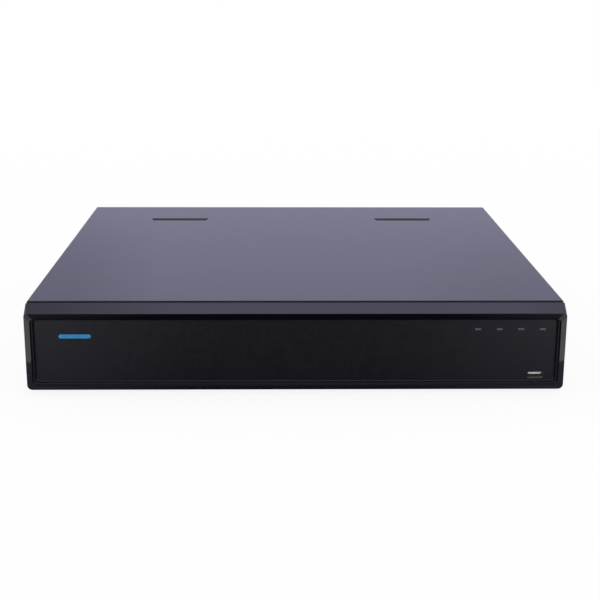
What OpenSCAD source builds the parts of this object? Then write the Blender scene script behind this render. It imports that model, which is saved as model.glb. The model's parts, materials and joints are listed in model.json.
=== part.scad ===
// Video recorder in a low steel case, with a plastic front bezel, a sliding top cover and rear connectors.
// Millimetres. X runs to the right seen from the front, Y runs to the back, Z is up.
// The origin is on the surface the feet stand on, in the middle of the whole footprint.

/* [Case] */
// Width across the front bezel
body_w = 440; // [420:1:480]
// Height of the case without its feet
body_h = 71; // [70:1:90]
// Length of the top cover, from the bezel to the rear edge
cover_d = 404; // [390:1:460]
// Thickness of the sheet steel
sheet_t = 1; // [0.8:0.1:1.2]
// Step in from the bezel's side to the metal cover
cover_inset = 0.4; // [0.2:0.1:2]
// Clearance between the sliding cover and what it slides on
slide_gap = 0.2; // [0.1:0.05:0.3]
// Gap between the bezel and the cover's front edge
cover_gap = 3; // [0.4:0.1:4]
// Height of the cover's folded lips
lip_h = 12; // [8:0.5:16]
// Width of the tray's folded flanges
flange_w = 10; // [8:0.5:14]

/* [Bezel] */
// How far the top chamfer runs forward
chamfer_run = 10.9; // [8:0.1:14]
// How far the top chamfer drops
chamfer_drop = 6.2; // [4:0.1:9]
// Step down from the cover to the bezel's top edge
bezel_step = 1; // [0.5:0.1:2]
// How far the rim's outer bevel runs forward
rim_run = 2.6; // [1.5:0.1:4]
// Width of the rim's outer bevel at the top
rim_w = 4.2; // [3:0.1:6]
// Width of the rim's outer bevel at the sides
rim_side = 4.9; // [3:0.1:6]
// Width of the rim's outer bevel at the bottom
rim_foot = 4.2; // [2:0.1:5]
// Width of the flat crest of the rim
rim_crest = 0.3; // [0.2:0.1:1]
// Depth of the front panel behind the crest
recess_d = 4.7; // [3:0.1:6]
// Width of the slope from the crest to the panel at the sides and the bottom
recess_slope = 2.6; // [1.5:0.1:4]
// Width of the slope from the crest to the panel at the top
recess_slope_top = 1.1; // [0.8:0.1:4]
// Radius of the bezel's lower corners
corner_r = 4.2; // [1:0.1:6]
// Radius of the recess's corners at the crest
recess_r = 3; // [1:0.1:6]
// How far the bezel reaches below the case
bezel_drop = 0.8; // [0:0.1:2]
// Wall of the bezel moulding
bezel_wall = 2.5; // [2:0.1:3]

/* [Front panel] */
// Thickness of the front panel
panel_t = 2; // [1.5:0.1:3]
// Distance from the panel's right edge to the last status light
led_edge = 11.1; // [8:0.1:40]
// Distance between status lights
led_pitch = 17.6; // [12:0.1:18]
// Drop from the panel's top edge to the row of status lights
led_drop = 8.2; // [5:0.1:16]
// Length of a status light's window
led_w = 4.9; // [3:0.1:7]
// Height of a status light's window
led_h = 1.6; // [1:0.1:3]
// Distance from the panel's right edge to the front data socket
usb_edge = 15.1; // [10:0.1:40]
// Height of the front data socket above the panel's bottom edge
usb_up = 4.2; // [4:0.1:12]
// How far the front data socket's mouth is behind the panel's face
usb_recess = 2.2; // [0:0.1:4]

/* [Thumb recesses] */
// Distance from the middle to a recess
thumb_x = 120; // [80:1:150]
// Distance from the cover's rear edge to a recess
thumb_back = 63.5; // [30:0.5:90]
// Length of a recess along its rear edge
thumb_l = 62; // [40:1:80]
// Width of a recess
thumb_w = 11.5; // [10:0.5:25]
// Depth of a recess at its rear wall
thumb_d = 4.5; // [3:0.1:6]
// Step in of the front edge at each end of a recess
thumb_taper = 3; // [1:0.5:6]
// How far the rear wall of a recess leans back
thumb_lean = 1.5; // [0:0.1:3]

/* [Feet and rack holes] */
// Height of the rubber feet
foot_h = 5; // [3:0.5:10]
// Radius of a foot where it stands
foot_r = 9; // [6:0.5:14]
// Distance from the side of the case to a foot's middle
foot_inset = 34; // [20:1:60]
// Distance from the ends of the case to a foot's middle
foot_end = 45; // [30:1:80]
// Radius of the holes for rack ears
rack_hole_r = 2; // [1.5:0.1:2.5]
// Distance between rack ear holes along the case
rack_pitch_y = 30; // [20:1:40]
// Distance between rack ear holes up the case
rack_pitch_z = 28; // [20:1:32]
// Distance from the bezel to the middle of the rack ear holes
rack_back = 40; // [30:1:60]

/* [Rear connectors] */
// Number of coaxial sockets in each row
bnc_columns = 8; // [4:1:8]
// Distance between coaxial sockets along a row
bnc_pitch = 16; // [14.5:0.5:16.5]
// Distance between the two rows of coaxial sockets
bnc_row_pitch = 20; // [16:0.5:24]
// Depth of the moulded block behind the coaxial sockets
bnc_block_d = 20; // [15:1:30]
// How far a coaxial socket stands out of the rear panel
bnc_l = 13; // [11:0.5:16]
// Radius of a coaxial socket's tube
bnc_r = 4.8; // [4.6:0.1:5]
// Number of poles in the alarm plug
alarm_poles = 8; // [4:1:8]
// Distance between poles in the alarm plug
alarm_pitch = 3.81; // [3.5:0.01:4]
// Side of the square cooling fan
fan_w = 50; // [40:1:52]
// Thickness of the cooling fan
fan_t = 15; // [12:1:25]
// Number of fan blades
fan_blades = 7; // [5:1:9]

/* [Inside] */
// Height of the circuit boards above the tray's floor
standoff_h = 6; // [4:0.5:8]
// Thickness of the circuit boards
board_t = 1.6; // [1:0.1:2]
// Length of the main board
board_d = 170; // [150:1:180]
// Width of a hard disk
disk_w = 101.6; // [101.6:0.1:102]
// Length of a hard disk
disk_l = 147; // [145:0.5:147]
// Height of a hard disk
disk_h = 26.1; // [20:0.1:26.1]
// Distance from the bezel to the disks
disk_front = 30; // [28:1:36]
// Thickness of the disk brackets
bracket_t = 1.2; // [1:0.1:1.5]
// Width of the power supply board
psu_w = 96; // [80:1:100]
// Length of the power supply board
psu_d = 150; // [120:1:155]

/* [Hidden] */
$fn = 48;

// Small clearances shared by the pieces
fit = 0.2;           // between pieces that are put together
run_fit = 0.05;      // round a turning pin or shaft
touch = 0.01;        // overlap of solids that are one piece
hole_fit = 0.3;      // round a connector in its hole
over = 1;            // how far a cut runs past a face

// Heights
z_base = foot_h;
z_floor = z_base + sheet_t;
z_top = z_base + body_h;
z_lid = z_top - sheet_t;
z_rim = z_lid - slide_gap;
z_bezel = z_top - bezel_step;
z_low = z_base - bezel_drop;

// Lengths, from the crest of the rim at the front to the tips of the coaxial sockets
bezel_d = rim_run + chamfer_run;
total_d = bezel_d + cover_d - sheet_t - slide_gap + bnc_l;
y_front = -total_d / 2;
y_gap = y_front + bezel_d;
y_back = y_gap + cover_d;
y_rear = y_back - sheet_t - slide_gap;
y_inner = y_rear - sheet_t;

// Widths
x_bezel = body_w / 2;
x_out = x_bezel - cover_inset;
x_wall = x_out - sheet_t - slide_gap;
x_in = x_wall - sheet_t;

// Screws
screw_r = 1.45;
screw_head_r = 2.8;
screw_head_h = 1.8;
screw_hole_r = 1.6;
screw_l = 5;
bezel_screw_l = 4;

// Power side of the rear panel, counted in from the left-hand flange and down from the cover's lip
edge_gap = 2;
slot_gap = 3;
socket_proud = 0.8;
x_free = x_wall - flange_w - edge_gap;
inlet_w = 31;
inlet_h = 24;
inlet_x = -x_free + inlet_w / 2;
switch_w = 15;
switch_h = 21;
switch_z = z_top - lip_h - edge_gap - switch_h / 2;
inlet_z = switch_z - switch_h / 2 - slot_gap - inlet_h / 2;
fan_x = inlet_x + inlet_w / 2 + slot_gap + fan_w / 2;
fan_screw_inset = 5;
fan_screw_pitch = fan_w - 2 * fan_screw_inset;
fan_head_r = 3.4;
fan_z = z_top - lip_h - 2 * fit - fan_head_r - fan_screw_pitch / 2;
fan_wall = 1.5;
fan_bore_r = fan_w / 2 - fan_wall;
fan_hub_r = fan_bore_r / 2;

// Power supply, in the rear left-hand corner
psu_side_gap = 4;
psu_rear_gap = 41;
psu_x0 = -x_in + psu_side_gap;
psu_y1 = y_inner - psu_rear_gap;
psu_y0 = psu_y1 - psu_d;

// Signal side, counted in from the right-hand flange, with as many coaxial sockets as there is room for
rca_w = 14;
vga_w = 31;
hdmi_w = 17;
net_w = 16.4;
usb_w = 13.2;
usb_h = 5.8;
alarm_wall = 0.8;
alarm_w = alarm_poles * alarm_pitch + 2 * alarm_wall;
signal_x0 = max(fan_x + fan_w / 2, psu_x0 + psu_w) + 2 * edge_gap;
small_count = 7;
small_w = rca_w + vga_w + 2 * hdmi_w + net_w + usb_w + alarm_w;
bnc_room = x_free - signal_x0 - small_w - small_count * slot_gap;
bnc_count = min(bnc_columns, floor(bnc_room / bnc_pitch));
bnc_w = bnc_count * bnc_pitch;
bnc_x = x_free - bnc_w / 2;
rca_x = bnc_x - bnc_w / 2 - slot_gap - rca_w / 2;
vga_x = rca_x - rca_w / 2 - slot_gap - vga_w / 2;
hdmi_x = [for (i = [0, 1]) vga_x - vga_w / 2 - slot_gap - hdmi_w / 2 - i * (hdmi_w + slot_gap)];
net_x = hdmi_x[1] - hdmi_w / 2 - slot_gap - net_w / 2;
rear_usb_x = net_x - net_w / 2 - slot_gap - usb_w / 2;
alarm_x = rear_usb_x - usb_w / 2 - slot_gap - alarm_w / 2;

// Boards
z_board = z_floor + standoff_h;
z_deck = z_board + board_t;
bnc_up = 11;
bnc_z = [for (i = [0, 1]) z_deck + bnc_up + i * bnc_row_pitch];
rca_up = 9;
rca_pitch = 18;
rca_z = [for (i = [0, 1]) z_deck + rca_up + i * rca_pitch];

// Disks: two stacks of two
disk_side_gap = 0.2;
bracket_foot = 10;
stack_gap = 1;
disk_step = disk_w + 2 * (disk_side_gap + bracket_t + bracket_foot) + stack_gap;
disk_mid = 22;
disk_x = [for (i = [0, 1]) disk_mid + (i - 0.5) * disk_step];
disk_y = y_gap + disk_front;
disk_under = 2;
disk_between = 2.9;
disk_over = 1.5;
disk_z = [for (i = [0, 1]) z_floor + disk_under + i * (disk_h + disk_between)];
disk_screw_y = [28.5, 130.1];
disk_screw_z = 6.35;
bracket_h = disk_z[1] + disk_h + disk_over + bracket_t - z_floor;
sata_dx = -15;
sata_w = 8;
sata_l = 14;
board_plug_w = 18;
board_plug_x = disk_x[0] + sata_dx - sata_l / 2 - slot_gap - board_plug_w / 2;

// Main board
board_side = 1;
board_rear_gap = 3;
board_x0 = min(board_plug_x - board_plug_w / 2, alarm_x - alarm_w / 2) - edge_gap;
board_x1 = x_free + board_side;
board_y1 = y_inner - board_rear_gap;
board_y0 = board_y1 - board_d;
board_w = board_x1 - board_x0;

// Crest of the bezel's rim, the recess inside it and the panel at the foot of the recess
x_crest = x_bezel - rim_side;
z_crest = [z_low + rim_foot, z_bezel - chamfer_drop - rim_w];
recess_x = x_crest - rim_crest;
recess_z = [z_crest[0] + rim_crest, z_crest[1] - rim_crest];
panel_x = recess_x - recess_slope;
panel_z = [recess_z[0] + recess_slope, recess_z[1] - recess_slope_top];
y_panel = y_front + recess_d;

// Front board, behind the tray's front wall
usb_l = 14;
usb_wall = 0.4;
usb_hole_r = 0.5;
led_r = 0.4;
guide_h = 4;
guide_slot = led_w / 2 + 1;
y_usb = y_panel + usb_recess;
y_fboard = y_usb + usb_l;
led_x = panel_x - led_edge - 3 * led_pitch;
z_led = panel_z[1] - led_drop;
usb_x = panel_x - usb_edge;
z_usb = panel_z[0] + usb_up;
fboard_left = 14;
fboard_right = 10;
fboard_low = 0.5;
fboard_high = 8;
fboard_x = [led_x - fboard_left, usb_x + fboard_right];
fboard_z = [z_floor + fboard_low, z_led + fboard_high];

// Points of a convex outline with each corner rounded to radius r
function rounded(points, r, steps = 6) = [
    for (i = [0 : len(points) - 1])
        let (
            n = len(points),
            p = points[i],
            a = unit(points[(i + n - 1) % n] - p),
            b = unit(points[(i + 1) % n] - p),
            half = acos(a * b) / 2,
            centre = p + unit(a + b) * r / sin(half),
            from = centre_angle(p + a * r / tan(half) - centre),
            turn = shortest(centre_angle(p + b * r / tan(half) - centre) - from)
        )
        for (k = [0 : steps]) centre + r * [cos(from + turn * k / steps), sin(from + turn * k / steps)]
];
function unit(v) = v / norm(v);
function centre_angle(v) = atan2(v[1], v[0]);
function shortest(a) = a > 180 ? a - 360 : a < -180 ? a + 360 : a;

// Width and height of a rectangle, grown by g all round
function grown(w, h, g) = [w + 2 * g, h + 2 * g];

// Block between two corners
module box(low, high) translate(low) cube(high - low);

// Copies at a list of places, given as X and Z or as X and Y
module at_xz(places, y) for (p = places) translate([p[0], y, p[1]]) children();
module at_xy(places, z) for (p = places) translate([p[0], p[1], z]) children();

// A shape and its mirror image on the other side of the case
module both_sides() {
    children();
    mirror([1, 0, 0]) children();
}

// Round bar along X or Y
module bar_x(r, l) rotate([0, 90, 0]) cylinder(r = r, h = l);
module bar_y(r, l) rotate([-90, 0, 0]) cylinder(r = r, h = l);

// Outline of Y and Z swept along X, outline of X and Z swept along Y, and a rectangle swept along Y
module sweep_x(l) rotate([90, 0, 90]) linear_extrude(l) children();
module sweep_y(l) translate([0, l, 0]) rotate([90, 0, 0]) linear_extrude(l) children();
module block_y(l, size) sweep_y(l) square(size, center = true);

// Rectangle with round corners, about its middle
module round_rect(w, h, r) {
    square([w - 2 * r, h], center = true);
    square([w, h - 2 * r], center = true);
    for (x = [-1, 1], y = [-1, 1])
        translate([x * (w / 2 - r), y * (h / 2 - r)]) circle(r);
}

// Pan head screw with a cross slot, head up, seated at the origin
module screw(l = screw_l, r = screw_r, head_r = screw_head_r, head_h = screw_head_h) {
    slot_w = head_r * 0.3;
    slot_l = head_r * 1.2;
    slot_z = head_h * 0.45;
    rim_h = head_h * 0.6;
    crown_r = head_r * 0.75;
    difference() {
        union() {
            translate([0, 0, -l]) cylinder(r = r, h = l + head_h / 2);
            cylinder(r = head_r, h = rim_h);
            translate([0, 0, rim_h]) cylinder(r1 = head_r, r2 = crown_r, h = head_h - rim_h);
        }
        for (a = [0, 90])
            rotate([0, 0, a]) translate([-slot_l / 2, -slot_w / 2, slot_z]) cube([slot_l, slot_w, head_h]);
    }
}

// Screw driven forward, with its head to the rear
module rear_screw(l = screw_l) rotate([-90, 0, 0]) screw(l);

// Front bezel

ledge = 3;
boss_r = 3.5;
boss_inset = 12;
boss_x = x_in - boss_inset;
boss_inner_x = 70;
boss_up = 14;
boss_down = 20;
boss_z = [z_base + boss_up, z_bezel - boss_down];
boss_mid_z = (panel_z[0] + panel_z[1]) / 2;
web_w = 4;
pilot_d = 5;
ledge_r = 1;
panel_r = recess_r * 0.7;

// Places of the screws that hold the bezel to the tray
function bezel_side_places() = [for (s = [-1, 1]) [s * boss_x, boss_mid_z]];
function bezel_inner_places() = [for (s = [-1, 1], z = boss_z) [s * boss_inner_x, z]];
function bezel_screw_places() = concat(bezel_side_places(), bezel_inner_places());

// Slab of thickness t across the front opening, with corners of radius r
module opening_slab(half_x, z, r, y, t) {
    translate([0, y, (z[0] + z[1]) / 2])
        sweep_y(t) round_rect(2 * half_x, z[1] - z[0], r);
}

module bezel_blank() {
    intersection() {
        translate([-x_bezel, 0, 0]) sweep_x(body_w) polygon([
            [y_gap, z_low],
            [y_front + rim_run * rim_foot / rim_w, z_low],
            [y_front, z_crest[0]],
            [y_front, z_crest[1]],
            [y_front + rim_run, z_bezel - chamfer_drop],
            [y_gap, z_bezel]
        ]);
        linear_extrude(z_top) polygon([
            [-x_bezel, y_gap],
            [-x_bezel, y_front + rim_run],
            [-x_crest, y_front],
            [x_crest, y_front],
            [x_bezel, y_front + rim_run],
            [x_bezel, y_gap]
        ]);
        translate([0, y_front, z_low + z_top / 2]) sweep_y(bezel_d)
            round_rect(body_w, z_top, corner_r);
    }
}

module front_bezel() {
    back = y_panel + panel_t;
    cavity_y = back + bezel_wall;
    cavity_z = z_bezel - chamfer_drop * (y_gap - cavity_y) / chamfer_run - bezel_wall;
    color([0.03, 0.03, 0.035])
    difference() {
        union() {
            difference() {
                bezel_blank();
                // sloping sides of the recess
                hull() {
                    opening_slab(recess_x, recess_z, recess_r, y_front - touch, touch, $fn = 32);
                    opening_slab(panel_x, panel_z, panel_r, y_panel - touch, touch, $fn = 32);
                }
                // seat of the front panel and the opening behind it
                opening_slab(panel_x, panel_z, panel_r, y_panel - 2 * touch, panel_t + 2 * touch);
                opening_slab(panel_x - ledge, [panel_z[0] + ledge, panel_z[1] - ledge], ledge_r,
                    back - touch, bezel_d);
                // hollow back of the moulding
                box([-x_bezel + bezel_wall, cavity_y, z_low + bezel_wall],
                    [x_bezel - bezel_wall, y_gap + over, cavity_z]);
            }
            // screw bosses, on webs that cross the opening behind the panel
            at_xz(bezel_screw_places(), back) bar_y(boss_r, y_gap - back);
            for (s = [-1, 1])
                translate([s * boss_inner_x, back, panel_z[0]])
                    box([-web_w / 2, 0, 0], [web_w / 2, bezel_wall, panel_z[1] - panel_z[0]]);
            both_sides()
                box([boss_x, back, boss_mid_z - web_w / 2], [panel_x, cavity_y, boss_mid_z + web_w / 2]);
        }
        at_xz(bezel_screw_places(), y_gap - pilot_d) bar_y(screw_r + run_fit, pilot_d + over);
        // notch in the ledge for the data socket
        translate([usb_x, back - touch, z_usb]) sweep_y(bezel_d)
            usb_hole(hole_fit);
    }
}

// Outline of a hole round the data socket or of its mouth, grown by g
module usb_hole(g) {
    round_rect(usb_w + 2 * g, usb_h + 2 * g, usb_hole_r);
}
module usb_mouth(g) {
    usb_hole(g - usb_wall);
}

module front_panel() {
    lift = fit / 2;
    color([0.045, 0.045, 0.055])
    difference() {
        opening_slab(panel_x - fit, [panel_z[0] + fit, panel_z[1] - fit], panel_r - lift, y_panel, panel_t);
        for (i = [0 : 3])
            translate([led_x + i * led_pitch, y_panel - over, z_led])
                sweep_y(panel_t + 2 * over) round_rect(led_w + lift, led_h + lift, led_r);
        translate([usb_x, y_panel - over, z_usb]) sweep_y(panel_t + 2 * over) usb_mouth(hole_fit);
    }
}

module light_guide() {
    wall_gap = 0.5;
    led_gap = 1.5;
    peg_r = 1.2;
    bar_y0 = y_gap + sheet_t + wall_gap;
    bar_y1 = y_fboard - led_gap;
    color([0.55, 0.68, 0.75])
    union() {
        for (i = [0 : 3])
            translate([led_x + i * led_pitch, y_panel, z_led])
                sweep_y(bar_y1 - y_panel) round_rect(led_w, led_h, led_r);
        // bar that joins the four fingers, with two pegs standing on the front board
        box([led_x - led_w, bar_y0, z_led - guide_h / 2],
            [led_x + 3 * led_pitch + led_w, bar_y1, z_led + guide_h / 2]);
        for (i = [0.5, 2.5])
            translate([led_x + i * led_pitch, bar_y0, z_led]) bar_y(peg_r, y_fboard - bar_y0);
    }
}

// Steel case

// Two rows of upright slots in a side wall
module side_vents() {
    vent_l = 22;
    vent_w = 3;
    vent_r = 1.4;
    vent_gap = 6;
    vent_up = 14;
    vent_back = 110;
    vent_pitch = 9;
    vent_count = 14;
    for (i = [0 : vent_count - 1], k = [0, 1])
        translate([x_in - over, y_gap + vent_back + i * vent_pitch,
            z_base + vent_up + k * (vent_l + vent_gap)])
            sweep_x(sheet_t + 2 * over) translate([0, vent_l / 2]) round_rect(vent_w, vent_l, vent_r);
}

rack_up = 28;
rear_screw_up = [8, 46];

function rack_places() = [
    for (i = [-0.5, 0.5], k = [-0.5, 0.5])
        [y_gap + rack_back + i * rack_pitch_y, z_base + rack_up + k * rack_pitch_z]
];

function rear_screw_places() = [
    for (s = [-1, 1], up = rear_screw_up) [s * (x_wall - flange_w / 2), z_base + up]
];

module base_tray() {
    color([0.09, 0.09, 0.1])
    difference() {
        union() {
            box([-x_wall, y_gap, z_base], [x_wall, y_inner, z_floor]);
            box([-x_wall, y_gap, z_base], [x_wall, y_gap + sheet_t, z_rim]);
            box([-x_wall, y_gap, z_rim - sheet_t], [x_wall, y_gap + flange_w, z_rim]);
            both_sides() {
                box([x_in, y_gap, z_base], [x_wall, y_inner, z_rim]);
                box([x_wall - flange_w, y_gap, z_rim - sheet_t], [x_wall, y_inner, z_rim]);
                box([x_wall - flange_w, y_inner - sheet_t, z_base], [x_wall, y_inner, z_rim]);
            }
        }
        both_sides() {
            side_vents();
            for (p = rack_places())
                translate([x_in - over, p[0], p[1]]) bar_x(rack_hole_r, sheet_t + 2 * over);
        }
        at_xz(rear_screw_places(), y_inner - sheet_t - over) bar_y(screw_hole_r, sheet_t + 2 * over);
        at_xz(bezel_screw_places(), y_gap - over) bar_y(screw_hole_r, sheet_t + 2 * over);
        at_xy(bracket_places(), z_base - over) cylinder(r = screw_r + run_fit, h = sheet_t + 2 * over);
        // slot for the light guide and hole for the data socket
        box([led_x - guide_slot, y_gap - over, z_led - guide_h / 2],
            [led_x + 3 * led_pitch + guide_slot, y_gap + sheet_t + over, z_led + guide_h / 2]);
        translate([usb_x, y_gap - over, z_usb]) sweep_y(sheet_t + 2 * over) usb_hole(2 * hole_fit);
    }
}

cover_screw_inset = 60;
cover_screw_z = z_top - lip_h / 2 - sheet_t / 2;

function cover_screw_places() = [for (i = [-1, 0, 1]) [i * (x_in - cover_screw_inset), cover_screw_z]];

module rear_panel() {
    t = sheet_t + 2 * over;
    color([0.16, 0.16, 0.17])
    translate([0, y_inner, 0])
    difference() {
        box([-x_wall, 0, z_base], [x_wall, sheet_t, z_rim]);
        translate([0, -over, 0]) {
            at_xz(rear_screw_places(), 0) bar_y(screw_hole_r, t);
            at_xz(cover_screw_places(), 0) bar_y(screw_hole_r, t);
            at_xz(bnc_places(), 0) bar_y(bnc_collar_r + hole_fit, t);
            for (z = rca_z)
                translate([rca_x, 0, z]) bar_y(rca_collar_r + hole_fit, t);
            translate([vga_x, 0, vga_z]) {
                sweep_y(t) vga_outline(hole_fit);
                for (s = [-1, 1]) translate([s * vga_post_x, 0, 0]) bar_y(vga_thread_r + hole_fit, t);
            }
            for (x = hdmi_x)
                translate([x, 0, hdmi_z]) sweep_y(t) hdmi_outline(hole_fit);
            translate([net_x, 0, z_deck + net_h / 2]) block_y(t, grown(net_w, net_h, hole_fit));
            translate([rear_usb_x, 0, rear_usb_z]) block_y(t, grown(usb_w, usb_h, hole_fit));
            translate([alarm_x, 0, z_deck + alarm_h / 2]) block_y(t, grown(alarm_w, alarm_h, 2 * hole_fit));
            translate([inlet_x, 0, inlet_z]) block_y(t, inlet_body(hole_fit));
            translate([inlet_x, 0, switch_z]) block_y(t, switch_body(hole_fit));
            fan_grille(t);
            at_xz(fan_screw_places(), 0) bar_y(fan_screw_r + fit, t);
        }
    }
}

// Round holes on a triangular grid in front of the fan
module fan_grille(t) {
    pitch = 6;
    hole_r = 2.2;
    row = pitch * sqrt(3) / 2;
    rows = floor(fan_bore_r / row);
    translate([fan_x, 0, fan_z])
        for (k = [-rows : rows], i = [-rows - 1 : rows + 1]) {
            x = (i + (abs(k) % 2) / 2) * pitch;
            z = k * row;
            if (norm([x, z]) < fan_bore_r - hole_r) translate([x, 0, z]) bar_y(hole_r, t);
        }
}

// Top cover: a sheet with folded lips, two thumb recesses and hooks under the tray's front flange

thumb_front_d = 0.6;
thumb_r = 2.5;

// Plan of a thumb recess, grown by g
module thumb_plan(g) {
    polygon(rounded([
        [-thumb_l / 2 + thumb_taper - g, -g],
        [thumb_l / 2 - thumb_taper + g, -g],
        [thumb_l / 2 + g, thumb_w + g],
        [-thumb_l / 2 - g, thumb_w + g]
    ], thumb_r + g));
}

// Space under a thumb recess: its plan, down to a floor that slopes to the rear and a wall that leans back
module thumb_block(g, above) {
    lean = thumb_lean / thumb_d;
    intersection() {
        translate([0, 0, -thumb_d - 2 * sheet_t]) linear_extrude(thumb_d + 2 * sheet_t + above) thumb_plan(g);
        translate([-thumb_l, 0, 0]) sweep_x(2 * thumb_l) polygon([
            [-g - over, above],
            [thumb_w + g + lean * above, above],
            [thumb_w + g - lean * (thumb_d + g), -thumb_d - g],
            [-g - over, -thumb_front_d - g]
        ]);
    }
}

module at_thumbs() {
    both_sides() translate([thumb_x, y_back - thumb_back - thumb_w, z_top]) children();
}

hook_w = 30;
hook_reach = 6;
hook_x = [-150, 0, 150];

module cover_hook() {
    y0 = y_gap + flange_w - hook_reach;
    y1 = y_gap + flange_w + 2 * slide_gap;
    z1 = z_rim - sheet_t - slide_gap;
    box([-hook_w / 2, y1, z1 - sheet_t], [hook_w / 2, y1 + sheet_t, z_lid + touch]);
    box([-hook_w / 2, y0, z1 - sheet_t], [hook_w / 2, y1 + sheet_t, z1]);
}

module top_cover() {
    y_cover = y_gap + cover_gap;
    bend_r = 1.2 * sheet_t;
    color([0.12, 0.12, 0.14])
    difference() {
        union() {
            // top and side lips, with rounded folds
            translate([0, y_cover, 0]) sweep_y(y_back - y_cover) cover_section(bend_r);
            box([-x_out + bend_r, y_back - sheet_t, z_top - lip_h], [x_out - bend_r, y_back, z_lid + touch]);
            at_thumbs() thumb_block(sheet_t, -touch);
            for (x = hook_x) translate([x, 0, 0]) cover_hook();
        }
        at_thumbs() thumb_block(0, over);
        at_xz(cover_screw_places(), y_back - sheet_t - over) bar_y(screw_hole_r, sheet_t + 2 * over);
    }
}

// Section across the cover: a wide shallow channel
module cover_section(r) {
    difference() {
        translate([0, z_top - lip_h / 2]) union() {
            round_rect(2 * x_out, lip_h, r);
            translate([-x_out, -lip_h / 2]) square([2 * x_out, lip_h / 2]);
        }
        translate([-x_out + sheet_t, z_top - lip_h - over])
            square([2 * (x_out - sheet_t), lip_h + over - sheet_t]);
    }
}

module cover_screws() {
    color([0.1, 0.1, 0.1])
    at_xz(cover_screw_places(), y_back) rear_screw();
}

// Feet

module foot(side, end) {
    x = side * (x_wall - foot_inset);
    y = end < 0 ? y_gap + foot_end : y_inner - foot_end;
    flare = 1.5;
    edge = 1;
    hollow_d = 1.2;
    hollow_r = foot_r * 0.55;
    ring_r = foot_r * 0.62;
    color([0.05, 0.05, 0.05])
    translate([x, y, 0])
        rotate_extrude() polygon([
            [hollow_r, hollow_d], [ring_r, 0], [foot_r, 0], [foot_r + flare, foot_h - edge],
            [foot_r + flare, foot_h], [0, foot_h], [0, hollow_d]
        ]);
}

module foot_front_left() foot(-1, -1);
module foot_front_right() foot(1, -1);
module foot_rear_left() foot(-1, 1);
module foot_rear_right() foot(1, 1);

// Board screws and standoffs

board_screw_side = 6;
board_screw_front = 34;
board_screw_rear = 42;
board_screw_x = [board_x0 + board_screw_side, (board_x0 + board_x1) / 2, board_x1 - board_screw_side];
board_screw_y = [board_y0 + board_screw_front, board_y1 - board_screw_rear];
psu_screw = 5;
fboard_screw = 4;
fboard_screw_right = 22;
fboard_screw_top = 16;
fboard_screw_x = [fboard_x[0] + fboard_screw, fboard_x[1] - fboard_screw_right];
fboard_screw_z = [fboard_z[0] + fboard_screw, fboard_z[1] - fboard_screw_top];
bracket_screw = 20;

function main_board_places() = [for (x = board_screw_x, y = board_screw_y) [x, y]];
psu_screw_x = [psu_x0 + psu_screw, psu_x0 + psu_w - psu_screw];
psu_screw_y = [psu_y0 + psu_screw, psu_y1 - psu_screw];
function psu_places() = [for (x = psu_screw_x, y = psu_screw_y) [x, y]];
function fboard_places() = [for (x = fboard_screw_x, z = fboard_screw_z) [x, z]];
function bracket_places() = [
    for (x = disk_x, s = [-1, 1], y = [disk_y + bracket_screw, disk_y + disk_l - bracket_screw])
        [x + s * (disk_w / 2 + disk_side_gap + bracket_t + bracket_foot / 2), y]
];

standoff_r = 2.9;
standoff_floor = 0.6;
fboard_gap = y_fboard - y_gap - sheet_t;

module standoff(h) {
    difference() {
        cylinder(r = standoff_r, h = h);
        translate([0, 0, standoff_floor]) cylinder(r = screw_r + run_fit, h = h);
    }
}

module board_standoffs() {
    color([0.75, 0.75, 0.72]) {
        at_xy(concat(main_board_places(), psu_places()), z_floor) standoff(standoff_h);
        at_xz(fboard_places(), y_gap + sheet_t) rotate([-90, 0, 0]) standoff(fboard_gap);
    }
}

// One size of screw holds the bezel, the rear panel, the boards and the disk brackets
module case_screws() {
    short_l = min(screw_l, fboard_gap + board_t - standoff_floor - fit);
    color([0.62, 0.62, 0.6]) {
        at_xy(concat(main_board_places(), psu_places()), z_deck) screw();
        at_xz(fboard_places(), y_fboard + board_t) rear_screw(short_l);
        at_xz(bezel_screw_places(), y_gap + sheet_t) rear_screw(bezel_screw_l);
        at_xz(rear_screw_places(), y_rear) rear_screw();
        at_xy(bracket_places(), z_floor + bracket_t) screw(bracket_t + sheet_t);
    }
}

// Front electronics

module front_board() {
    color([0.05, 0.22, 0.12])
    difference() {
        box([fboard_x[0], y_fboard, fboard_z[0]], [fboard_x[1], y_fboard + board_t, fboard_z[1]]);
        at_xz(fboard_places(), y_fboard - over) bar_y(screw_hole_r, board_t + 2 * over);
    }
}

module status_leds() {
    chip = [3, 1.6];
    chip_t = 1.2;
    color([0.9, 0.9, 0.8])
    for (i = [0 : 3])
        translate([led_x + i * led_pitch, y_fboard - chip_t, z_led])
            block_y(chip_t, chip);
}

usb_floor = 2;
usb_tongue_t = 1.9;
usb_tongue_in = 1.2;
usb_tongue_side = 0.8;
usb_tongue_roof = 0.7;
usb_tongue_root = 2.5;
usb_tongue_z = usb_h / 2 - usb_wall - usb_tongue_roof;
rear_usb_z = z_deck + usb_h / 2;

// Rectangular metal sleeve of a data socket, mouth at the origin, running back along Y
module usb_shell() {
    difference() {
        sweep_y(usb_l) usb_hole(0);
        translate([0, -over, 0]) sweep_y(usb_l + over - usb_floor) usb_mouth(0);
    }
}

// Plastic tongue of a data socket, under the roof of its sleeve
module usb_tongue() {
    half = usb_w / 2 - usb_wall - usb_tongue_side;
    y1 = usb_l - usb_floor;
    box([-half, usb_tongue_in, usb_tongue_z - usb_tongue_t], [half, y1, usb_tongue_z]);
    box([-half, y1 - usb_tongue_root, -usb_h / 2 + usb_wall], [half, y1, usb_h / 2 - usb_wall]);
}

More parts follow.
